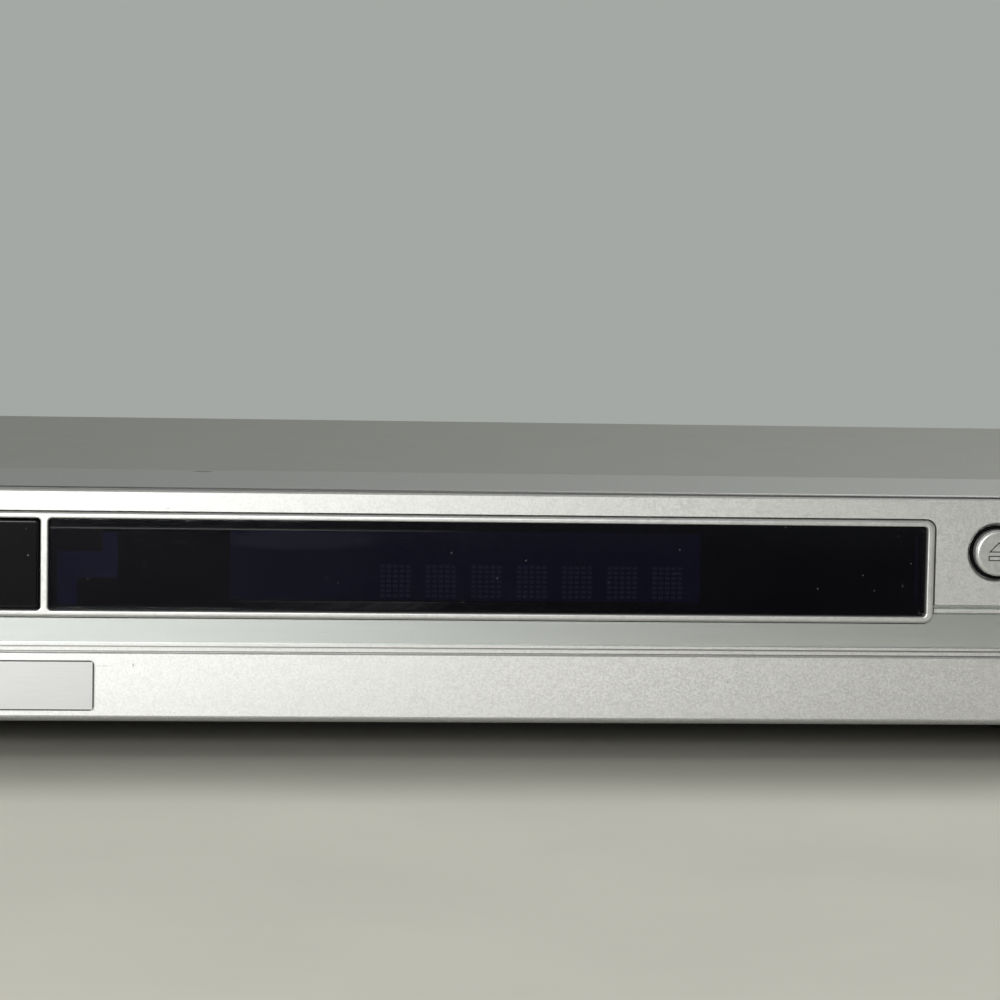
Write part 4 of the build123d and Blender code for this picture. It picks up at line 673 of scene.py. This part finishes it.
glassLooks = {
    "redLens": {
        "shine": {"Roughness": 0.18, "Coat Weight": 0.4},
        "grain": (0.8 * mm, 2.0),
        "tones": ((0.16, 0.006, 0.006), (0.24, 0.012, 0.012)),
    },
    "coatedLens": {
        "shine": {"Roughness": 0.08, "Metallic": 0.3, "Coat Weight": 0.8},
        "grain": (1.2 * mm, 2.0),
        "tones": ((0.08, 0.07, 0.20), (0.14, 0.16, 0.36)),
    },
    "tubeGlass": {
        "shine": {"Roughness": 0.12, "Coat Weight": 0.5},
        "grain": (0.5 * mm, 1.0),
        "tones": ((0.022, 0.024, 0.040), (0.034, 0.038, 0.060)),
    },
}


def clearFinish(name):
    look = glassLooks[name]
    finish, tree, shader = newFinish(name, look["shine"])
    soft = grain(tree, *look["grain"])
    tree.links.new(mixColours(tree, spread(tree, soft, 0, 1), *look["tones"]), shader.inputs["Base Color"])
    return finish


finishes = {
    "silverPaint": silverPaint(),
    "satinSilver": satinSilver(),
    "lidPaint": lidPaint(),
    "glossBlack": glossBlack(),
    "smokedPane": smokedPane(),
    "navyFilm": navyFilm(),
    "tubeRimHighlight": tubeRimHighlight(),
    "circuitBoard": circuitBoard(),
    "jackColours": jackColours(),
    "ribbonStripes": ribbonStripes(),
    "redLens": clearFinish("redLens"),
    "coatedLens": clearFinish("coatedLens"),
    "tubeGlass": clearFinish("tubeGlass"),
    "badgeSatin": badgeSatin(),
    "zincSteel": brushedFinish("zincSteel", (0.40, 0.41, 0.40), (6, 6, 6), 0.12, (0.34, 0.46), 0.003 * mm),
    "nickel": brushedFinish("nickel", (0.66, 0.64, 0.58), (0.1, 3, 0.1), 0.06, (0.16, 0.26), 0.001 * mm),
    "bareAluminium": brushedFinish("bareAluminium", (0.46, 0.47, 0.48), (0.1, 0.1, 8), 0.08),
    "dieCast": brushedFinish("dieCast", (0.40, 0.40, 0.41), (0.8, 0.8, 0.8), 0.12, (0.42, 0.56), 0.02 * mm),
    "screwSteel": brushedFinish("screwSteel", (0.36, 0.36, 0.37), (0.3, 0.3, 0.3), 0.15, (0.26, 0.40)),
    "blackPlastic": mouldedFinish("blackPlastic", (0.016, 0.016, 0.017), 0.15),
    "insideBlack": mouldedFinish(
        "insideBlack", (0.003, 0.003, 0.003), rough=(0.75, 0.9), **{"Specular IOR Level": 0.05}
    ),
    "chipBlack": mouldedFinish("chipBlack", (0.018, 0.018, 0.020), 0.12, 0.25 * mm, (0.5, 0.64), 0.008 * mm),
    "capacitorSleeve": mouldedFinish(
        "capacitorSleeve", (0.012, 0.014, 0.045), 0.08, 2 * mm, (0.22, 0.3), 0.001 * mm
    ),
    "rubber": mouldedFinish("rubber", (0.020, 0.020, 0.020), 0.15, 0.5 * mm, (0.78, 0.9), 0.03 * mm),
    "greyPlastic": mouldedFinish("greyPlastic", (0.055, 0.057, 0.060), 0.08, 0.6 * mm),
    "trayPlastic": mouldedFinish(
        "trayPlastic", (0.018, 0.018, 0.020), 0.10, 0.35 * mm, (0.46, 0.58), 0.010 * mm
    ),
    "whiteNylon": mouldedFinish("whiteNylon", (0.70, 0.68, 0.61), 0.04, 1.5 * mm, (0.34, 0.44), 0.004 * mm),
    "darkInk": mouldedFinish("darkInk", (0.045, 0.045, 0.043), 0.08, 0.4 * mm, (0.5, 0.6), 0.002 * mm),
    "ghostGrey": mouldedFinish("ghostGrey", (0.22, 0.22, 0.60), 0.10, 0.8 * mm, (0.5, 0.6), 0.001 * mm),
    "yellowTape": mouldedFinish("yellowTape", (0.55, 0.38, 0.05), 0.06, 3 * mm, (0.28, 0.36), 0.002 * mm),
    "tinned": brushedFinish("tinned", (0.66, 0.66, 0.65), (0.5, 0.5, 0.5), 0.08, (0.24, 0.36), 0.001 * mm),
}
nodeFinishes = {
    "silverPaint": ("front_panel",),
    "satinSilver": (
        "window_frame", "button_eject", "button_play", "button_pause", "button_stop", "button_power",
    ),
    "lidPaint": ("top_cover",),
    "glossBlack": ("tray_door",),
    "smokedPane": ("display_window",),
    "badgeSatin": ("badge_plate",),
    "redLens": ("standby_light",),
    "tubeGlass": ("display_tube",),
    "coatedLens": ("pickup_lens",),
    "circuitBoard": ("front_board", "power_switch_board", "main_board", "power_board"),
    "jackColours": ("rca_collars",),
    "ribbonStripes": ("ribbon_cables",),
    "zincSteel": (
        "chassis", "rear_panel", "clamp_bridge", "loading_motor", "sled_base", "spindle_motor", "sled_motor",
    ),
    "nickel": ("rca_barrels", "inlet_pins", "guide_rods", "sled_screw"),
    "bareAluminium": ("heat_sink",),
    "dieCast": ("pickup",),
    "screwSteel": ("cover_screws", "rear_screws", "inner_screws"),
    "blackPlastic": (
        "display_holder", "front_switches", "ir_receiver", "power_switch",
        "feet", "rca_housing", "power_inlet",
    ),
    "chipBlack": ("board_chips", "transformer"),
    "capacitorSleeve": ("capacitors",),
    "rubber": ("foot_pads", "drive_belt", "dampers"),
    "greyPlastic": ("loader_frame", "traverse_frame", "turntable"),
    "trayPlastic": ("disc_tray", "clamp_puck"),
    "whiteNylon": ("drive_gear", "pulley_gear", "motor_pulley", "cam_slider"),
}
for finishName, names in nodeFinishes.items():
    for name in names:
        nodes[name].data.materials.clear()
        nodes[name].data.materials.append(finishes[finishName])
print("finishes on nodes:", sum(len(names) for names in nodeFinishes.values()))


# Window: pane with softened edges, and what shows behind it
paneLook = {"corner": 0.6 * mm, "edge": 0.18 * mm}


def makePane():
    low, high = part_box("display_window")
    pane = frontSlab("windowPane", low, high, paneLook["corner"], paneLook["edge"])
    place(pane, "housing", finishes["smokedPane"])
    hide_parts("display_window")
    return pane


doorLook = {"corner": 0.6 * mm, "edge": 0.45 * mm}


def makeDoor():
    low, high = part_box("tray_door")
    door = frontSlab("glossDoor", low, high, doorLook["corner"], doorLook["edge"])
    place(door, "tray", finishes["glossBlack"])
    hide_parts("tray_door")
    return door


maskLook = {
    "gap": 0.10 * mm,
    "thick": 0.12 * mm,
    "side": 0.3 * mm,
    "filmGap": 0.02 * mm,
    "filmCorner": 0.4 * mm,
    "overlap": 0.2 * mm,
    "cutterReach": 1 * mm,
    "endInset": 2 * mm,
    "displayX": (4.6 * mm, 79.6 * mm),
    "displayZ": (24.4 * mm, 35.5 * mm),
    "armX": (-15.3 * mm, -12.9 * mm),
    "barX": (-22.4 * mm, -12.9 * mm),
    "legX": (-22.4 * mm, -19.3 * mm),
    "armTop": 34.9 * mm,
    "barZ": (27.6 * mm, 31.8 * mm),
    "legBottom": 23.3 * mm,
    "endX": (114.4 * mm, 114.9 * mm),
}


def makeMask():
    look = maskLook
    low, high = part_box("display_window")
    y = high.y + look["gap"]
    left, right = low.x + look["side"], high.x - look["side"]
    bottom, top = low.z + look["side"], high.z - look["side"]
    mask = block("windowMask", (left, y, bottom), (right, y + look["thick"], top))
    filmY = y + look["thick"] + look["filmGap"]
    film = block("blueFilm", (left, filmY, bottom), (right, filmY + look["thick"], top))
    barLow, barHigh = look["barZ"]
    openings = (
        (look["displayX"], look["displayZ"]),
        (look["armX"], (barLow + look["overlap"], look["armTop"])),
        (look["barX"], look["barZ"]),
        (look["legX"], (look["legBottom"], barHigh - look["overlap"])),
        (look["endX"], (low.z + look["endInset"], high.z - look["endInset"])),
    )
    for (left, right), (bottom, top) in openings:
        reach = look["cutterReach"]
        cutter = block("cutter", (left, y - reach, bottom), (right, y + reach, top))
        cut = mask.modifiers.new("opening", "BOOLEAN")
        cut.operation = "DIFFERENCE"
        cut.solver = "EXACT"
        cut.object = cutter
        applyAll(mask)
        bpy.data.objects.remove(cutter)
    place(mask, "housing", finishes["insideBlack"])
    pickEdges(film, lambda a, b: abs(a.y - b.y) > tiny)
    bpy.ops.mesh.bevel(offset=look["filmCorner"], segments=3, affect="EDGES")
    leaveEdit()
    place(film, "housing", finishes["navyFilm"])
    return y + look["thick"]


ghostLook = {
    "dot": (0.72 * mm, 0.50 * mm),
    "pitch": (1.02 * mm, 0.78 * mm),
    "columns": 5,
    "rows": 7,
    "digits": 7,
    "firstX": 28.4 * mm,
    "digitPitch": 7.25 * mm,
    "bottomZ": 24.9 * mm,
    "deep": (0.05 * mm, 0.01 * mm),
    "square": (0.9 * mm, 0.8 * mm),
    "squares": ((10.6 * mm, 35.0 * mm), (23.0 * mm, 35.0 * mm)),
}


def makeGhosts(backY):
    look = ghostLook
    across, tall = look["dot"]
    front, back = (backY - deep for deep in look["deep"])
    x, z = look["firstX"], look["bottomZ"]
    dot = block("ghostDot", (x, front, z), (x + across, back, z + tall))
    pitchX, pitchZ = look["pitch"]
    inRow(dot, look["columns"], (pitchX, 0, 0))
    inRow(dot, look["rows"], (0, 0, pitchZ))
    applyAll(dot)
    blocks = [dot] + [copyTo(dot, (number * look["digitPitch"], 0, 0)) for number in range(1, look["digits"])]
    halfX, halfZ = (side / 2 for side in look["square"])
    for x, z in look["squares"]:
        blocks.append(block("ghostSquare", (x - halfX, front, z - halfZ), (x + halfX, back, z + halfZ)))
    ghosts = joinPieces(blocks, "ghostDigits")
    place(ghosts, "housing", finishes["ghostGrey"])


# Outline symbols: a filled outline, inset, with its middle taken out and the line raised
def outline(name, corners, centre, size, line, y, rise, turn=0):
    clearSelection()
    bpy.ops.mesh.primitive_circle_add(
        vertices=corners, radius=1.0, fill_type="NGON", location=(centre[0], y, centre[1]),
        rotation=(math.radians(90), 0, 0),
    )
    shape = bpy.context.object
    shape.name = name
    bpy.ops.object.mode_set(mode="EDIT")
    bpy.ops.mesh.select_all(action="SELECT")
    bpy.ops.transform.rotate(
        value=math.radians(turn), orient_axis="Y", center_override=(centre[0], y, centre[1])
    )
    bpy.ops.object.mode_set(mode="OBJECT")
    settle(shape)
    xs = [v.co.x for v in shape.data.vertices]
    zs = [v.co.z for v in shape.data.vertices]
    left, right, bottom, top = min(xs), max(xs), min(zs), max(zs)
    bpy.ops.object.mode_set(mode="EDIT")
    bpy.ops.mesh.select_mode(type="FACE")
    bpy.ops.mesh.select_all(action="SELECT")
    middle = ((left + right) / 2, y, (bottom + top) / 2)
    bpy.ops.transform.resize(
        value=(size[0] / (right - left), 1, size[1] / (top - bottom)), center_override=middle
    )
    bpy.ops.transform.translate(value=(centre[0] - middle[0], 0, centre[1] - middle[2]))
    bpy.ops.mesh.inset(thickness=line, depth=0)
    bpy.ops.mesh.delete(type="FACE")
    bpy.ops.mesh.select_all(action="SELECT")
    bpy.ops.mesh.extrude_region_move(TRANSFORM_OT_translate={"value": (0, -rise, 0)})
    bpy.ops.mesh.select_all(action="SELECT")
    bpy.ops.mesh.normals_make_consistent(inside=False)
    bpy.ops.object.mode_set(mode="OBJECT")
    return shape


# each sign: name, corners, shift from the middle, size, turn in degrees, share of the line's width
markLook = {
    "line": 0.18 * mm,
    "rise": 0.03 * mm,
    "sink": 0.21 * mm,
    "signs": {
        "eject": (
            ("ejectWedge", 3, (0, 0.95 * mm), (3.3 * mm, 1.7 * mm), 0, 1),
            ("ejectBar", 4, (0, -0.85 * mm), (3.3 * mm, 0.85 * mm), 45, 1),
        ),
        "play": (("playWedge", 3, (0.2 * mm, 0), (2.3 * mm, 2.8 * mm), 90, 1),),
        "pause": (
            ("pauseLeft", 4, (-0.75 * mm, 0), (0.8 * mm, 2.4 * mm), 45, 1),
            ("pauseRight", 4, (0.75 * mm, 0), (0.8 * mm, 2.4 * mm), 45, 1),
        ),
        "stop": (("stopSquare", 4, (0, 0), (2.3 * mm, 2.3 * mm), 45, 1),),
        "power": (
            ("powerRing", 32, (0, -0.1 * mm), (2.6 * mm, 2.6 * mm), 0, 2),
            ("powerBar", 4, (0, 1.0 * mm), (0.5 * mm, 1.6 * mm), 45, 1),
        ),
    },
}


def makeMarks():
    look = markLook
    for button, signs in look["signs"].items():
        low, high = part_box("button_" + button)
        x, y, z = (low.x + high.x) / 2, low.y + look["sink"], (low.z + high.z) / 2
        shapes = [
            outline(name, corners, (x + right, z + up), size, look["line"] * share, y, look["rise"], turn)
            for name, corners, (right, up), size, turn, share in signs
        ]
        place(joinPieces(shapes, button + "Mark"), button, finishes["darkInk"])


# near-black rings at the bottom of the button gaps: painted shade
gapShadeLook = {
    "depth": 0.45 * mm,
    "thick": 0.3 * mm,
    "gap": 0.06 * mm,
    "rim": 0.30 * mm,
    "holes": {"eject": 4.6 * mm, "play": 5.6 * mm, "pause": 4.6 * mm, "stop": 4.6 * mm, "power": 4.6 * mm},
    "caps": {"eject": 3.7 * mm, "play": 4.7 * mm, "pause": 3.7 * mm, "stop": 3.7 * mm, "power": 3.7 * mm},
}


# each button gap gets a near-black ring as painted shade
def makeGapShades():
    gapShades = []
    for button, hole in gapShadeLook["holes"].items():
        low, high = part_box("button_" + button)
        ring = hole - gapShadeLook["caps"][button] - gapShadeLook["gap"] - gapShadeLook["rim"]
        across = 2 * (hole - gapShadeLook["rim"])
        x, z = (low.x + high.x) / 2, (low.z + high.z) / 2
        y = faceY + gapShadeLook["depth"] + gapShadeLook["thick"]
        gapShades.append(outline(button + "GapShade", 48, (x, z), (across, across), ring, y, gapShadeLook["thick"]))
    place(joinPieces(gapShades, "buttonGapShades"), "housing", finishes["insideBlack"])


rimLook = {
    "x": (4.8 * mm, 80.0 * mm),
    "z": (22.9 * mm, 24.2 * mm),
    "deep": (0.10 * mm, 0.02 * mm),
    "round": 0.3 * mm,
}


# strip that carries the painted highlight under the display
def makeTubeRim(backY):
    look = rimLook
    front, back = (backY - deep for deep in look["deep"])
    (left, right), (bottom, top) = look["x"], look["z"]
    rim = block("tubeRimHighlightStrip", (left, front, bottom), (right, back, top))
    pickEdges(rim, lambda a, b: abs(a.y - b.y) > tiny)
    bpy.ops.mesh.bevel(offset=look["round"], segments=3, affect="EDGES")
    leaveEdit()
    place(rim, "housing", finishes["tubeRimHighlight"])


makePane()
makeDoor()
maskBack = makeMask()
makeGhosts(maskBack)
makeTubeRim(maskBack - maskLook["thick"])
makeMarks()
makeGapShades()
print("front pieces made")


# Details on the boards: legs beside each chip, can tops and tape
legLook = {
    "pitch": 1.3 * mm,
    "wide": 0.45 * mm,
    "reach": 1.0 * mm,
    "thick": 0.2 * mm,
    "lift": 0.02 * mm,
    "share": 0.86,
    "climb": 0.45,
}


def makeLegs():
    look = legLook
    legs = []
    for low, high in islandBoxes("board_chips"):
        size = high - low
        along = 0 if size.x >= size.y else 1
        count = max(3, int(size[along] * look["share"] / look["pitch"]))
        start = (low[along] + high[along]) / 2 - (count - 1) * look["pitch"] / 2
        for side in (-1, 1):
            edge = high[1 - along] if side > 0 else low[1 - along]
            first = [0, 0, low.z + look["lift"]]
            last = [0, 0, low.z + look["lift"] + look["thick"]]
            first[along] = start - look["wide"] / 2
            last[along] = start + look["wide"] / 2
            first[1 - along] = min(edge, edge + side * look["reach"])
            last[1 - along] = max(edge, edge + side * look["reach"])
            leg = block("leg", first, last)
            inner = Vector((0, 0, 0))
            inner[1 - along] = -side
            pickFaces(leg, lambda normal: normal.dot(inner) > 0.9)
            bpy.ops.mesh.extrude_region_move(TRANSFORM_OT_translate={"value": (0, 0, size.z * look["climb"])})
            leaveEdit()
            step = [0, 0, 0]
            step[along] = look["pitch"]
            inRow(leg, count, step)
            applyAll(leg)
            legs.append(leg)
    place(joinPieces(legs, "chipLegs"), "housing", finishes["tinned"])


canLook = {"side": 0.7 * mm, "thick": 0.12 * mm, "lift": 0.05 * mm, "rim": 0.2, "dip": 0.04 * mm}


def makeCanTops():
    look = canLook
    tops = []
    for low, high in islandBoxes("capacitors"):
        radius = (high.x - low.x) / 2 - look["side"]
        clearSelection()
        bpy.ops.mesh.primitive_cylinder_add(
            vertices=32, radius=radius, depth=look["thick"],
            location=((low.x + high.x) / 2, (low.y + high.y) / 2, high.z + look["lift"]),
        )
        top = bpy.context.object
        settle(top)
        pickFaces(top, lambda normal: normal.z > 0.9)
        bpy.ops.mesh.inset(thickness=radius * look["rim"], depth=-look["dip"])
        leaveEdit()
        tops.append(top)
    cans = joinPieces(tops, "canTops")
    smooth(cans)
    place(cans, "housing", finishes["bareAluminium"])


tapeLook = {
    "side": 4 * mm,
    "low": 3.1 * mm,
    "high": 15.9 * mm,
    "thick": 0.25 * mm,
    "round": 0.8 * mm,
}


def makeTape():
    look = tapeLook
    low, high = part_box("transformer")
    side = Vector((look["side"], look["side"], 0))
    tape = block(
        "transformerTape",
        low + side + Vector((-look["thick"], -look["thick"], look["low"])),
        Vector((high.x, high.y, low.z)) - side + Vector((look["thick"], look["thick"], look["high"])),
    )
    pickEdges(tape, lambda a, b: abs(a.z - b.z) > tiny)
    bpy.ops.mesh.bevel(offset=look["round"], segments=4, affect="EDGES")
    leaveEdit()
    smooth(tape)
    place(tape, "housing", finishes["yellowTape"])


makeLegs()
makeCanTops()
makeTape()
print("board details made")


# Stage, light and camera
floorLook = {
    "radius": 3.0,
    "rough": 0.75,
    "specular": 0.2,
    "grain": 40 * mm,
    "drift": (0.97, 1.02),
    "pale": (0.78, 0.765, 0.67),
    "far": (0.375, 0.395, 0.375),
    "near": 0.45,
    "fade": 0.92,
    # painted dark reflection: the floor in front as seen by gloss
    "dimInReflections": (0.03, 0.03, 0.03),
    "edgeY": (-0.262, -0.242),
    "half": (0.215, 0.101),
    # reach and strength of the painted contact shadow
    "shadowReach": (-0.004, 0.044),
    "shadowShare": 0.42,
}


def makeFloor():
    look = floorLook
    clearSelection()
    bpy.ops.mesh.primitive_circle_add(vertices=96, radius=look["radius"], fill_type="NGON")
    floor = bpy.context.object
    floor.name = "studioFloor"
    shine = {"Roughness": look["rough"], "Specular IOR Level": look["specular"]}
    finish, tree, shader = newFinish("paleFloor", shine)
    away = tree.nodes.new("ShaderNodeVectorMath")
    away.operation = "LENGTH"
    tree.links.new(pointOn(tree, 1.0), away.inputs[0])
    fade = spread(tree, away.outputs["Value"], 0, 1, look["near"], look["fade"])
    pale = drifting(tree, grain(tree, look["grain"], 3.0), look["pale"], *look["drift"])
    squares = []
    # painted contact shadow: the floor darkens towards the object's footprint
    for axis, half in enumerate(look["half"]):
        outside = reckon(tree, "SUBTRACT", reckon(tree, "ABSOLUTE", axisOf(tree, axis), 0.0), half)
        squares.append(reckon(tree, "POWER", reckon(tree, "MAXIMUM", outside, 0.0), 2.0))
    edge = reckon(tree, "SQRT", reckon(tree, "ADD", *squares), 0.0)
    near = spread(tree, edge, 1 - look["shadowShare"], 0.0, *look["shadowReach"])
    pale = mixColours(tree, near, pale, (0.0, 0.0, 0.0))  # darker where the object stands
    # the floor in front of the object is painted dark in reflections only: a painted dark reflection
    rays = tree.nodes.new("ShaderNodeLightPath")
    inFront = spread(tree, axisOf(tree, 1), 1, 0, *look["edgeY"])
    seen = reckon(tree, "MULTIPLY", rays.outputs["Is Glossy Ray"], inFront)
    tree.links.new(mixColours(tree, seen, pale, look["dimInReflections"]), shader.inputs["Base Color"])
    glow = tree.nodes.new("ShaderNodeEmission")
    glow.inputs["Color"].default_value = (*look["far"], 1)
    blend = tree.nodes.new("ShaderNodeMixShader")
    tree.links.new(fade, blend.inputs["Fac"])
    tree.links.new(shader.outputs["BSDF"], blend.inputs[1])
    tree.links.new(glow.outputs["Emission"], blend.inputs[2])
    tree.links.new(blend.outputs["Shader"], tree.nodes["Material Output"].inputs["Surface"])
    floor.data.materials.append(finish)


worldLook = {
    "wall": (0.375, 0.395, 0.375),
    "front": (0.07, 0.07, 0.07),
    "frontSpan": (-0.6, 0.1),
    "room": (0.46, 0.47, 0.46),
    "strength": 0.20,
}


def makeWorld():
    look = worldLook
    world = bpy.data.worlds.new("studio")
    bpy.context.scene.world = world
    world.use_nodes = True
    tree = world.node_tree
    room = tree.nodes["Background"]
    room.inputs["Color"].default_value = (*look["room"], 1)
    room.inputs["Strength"].default_value = look["strength"]
    wall = tree.nodes.new("ShaderNodeBackground")
    coords = tree.nodes.new("ShaderNodeTexCoord")
    split = tree.nodes.new("ShaderNodeSeparateXYZ")
    tree.links.new(coords.outputs["Generated"], split.inputs["Vector"])
    # gloss sees a darker room in front of the object than behind it
    behind = spread(tree, split.outputs[1], 0, 1, *look["frontSpan"])
    rays = tree.nodes.new("ShaderNodeLightPath")
    clear = reckon(tree, "MAXIMUM", behind, rays.outputs["Is Camera Ray"])
    tree.links.new(mixColours(tree, clear, look["front"], look["wall"]), wall.inputs["Color"])
    seen = reckon(tree, "MAXIMUM", rays.outputs["Is Camera Ray"], rays.outputs["Is Glossy Ray"])
    seen = reckon(tree, "MAXIMUM", seen, rays.outputs["Is Transmission Ray"])
    blend = tree.nodes.new("ShaderNodeMixShader")
    tree.links.new(seen, blend.inputs["Fac"])
    tree.links.new(room.outputs["Background"], blend.inputs[1])
    tree.links.new(wall.outputs["Background"], blend.inputs[2])
    tree.links.new(blend.outputs["Shader"], tree.nodes["World Output"].inputs["Surface"])


lamps = {
    "keyLamp": {
        "spot": (-0.25, -0.86, 0.215),
        "aim": (-0.02, -0.10, 0.03),
        "size": (0.60, 0.26),
        "power": 5.1,
    },
    "fillLamp": {
        "spot": (-0.10, -0.80, 0.60),
        "aim": (0.0, -0.10, 0.03),
        "size": (0.40, 0.40),
        "power": 0.6,
    },
    "topLamp": {
        "spot": (0.45, 0.50, 0.90),
        "aim": (0.0, 0.0, 0.0),
        "size": (0.60, 0.60),
        "power": 5.0,
    },
}


def makeLamps():
    for name, lamp in lamps.items():
        clearSelection()
        bpy.ops.object.light_add(type="AREA", location=lamp["spot"])
        light = bpy.context.object
        light.name = name
        light.data.shape = "RECTANGLE"
        light.data.size, light.data.size_y = lamp["size"]
        light.data.energy = lamp["power"]
        aim = Vector(lamp["aim"]) - Vector(lamp["spot"])
        light.rotation_euler = aim.to_track_quat("-Z", "Y").to_euler()


cameraLook = {
    "spot": (6.68 * mm, -571.6 * mm, 77.0 * mm),
    "yaw": 4.90,
    "pitch": 4.39,
    "roll": 0.99,
    "lens": 108.0,
    "sensor": 36.0,
}


def makeCamera():
    look = cameraLook
    clearSelection()
    bpy.ops.object.camera_add(location=look["spot"])
    camera = bpy.context.object
    yaw, pitch, roll = (math.radians(look[key]) for key in ("yaw", "pitch", "roll"))
    forward = Vector((math.sin(yaw) * math.cos(pitch), math.cos(yaw) * math.cos(pitch), -math.sin(pitch)))
    level = Vector((math.cos(yaw), -math.sin(yaw), 0))
    upward = level.cross(forward)
    right = math.cos(roll) * level + math.sin(roll) * upward
    top = -math.sin(roll) * level + math.cos(roll) * upward
    camera.rotation_euler = Matrix((right, top, -forward)).transposed().to_euler()
    camera.data.lens = look["lens"]
    camera.data.sensor_width = look["sensor"]
    camera.data.dof.use_dof = False
    bpy.context.scene.camera = camera


makeFloor()
makeWorld()
makeLamps()
makeCamera()
bpy.context.scene.view_settings.view_transform = "Standard"
print("stage, lamps and camera set")

clearSelection()
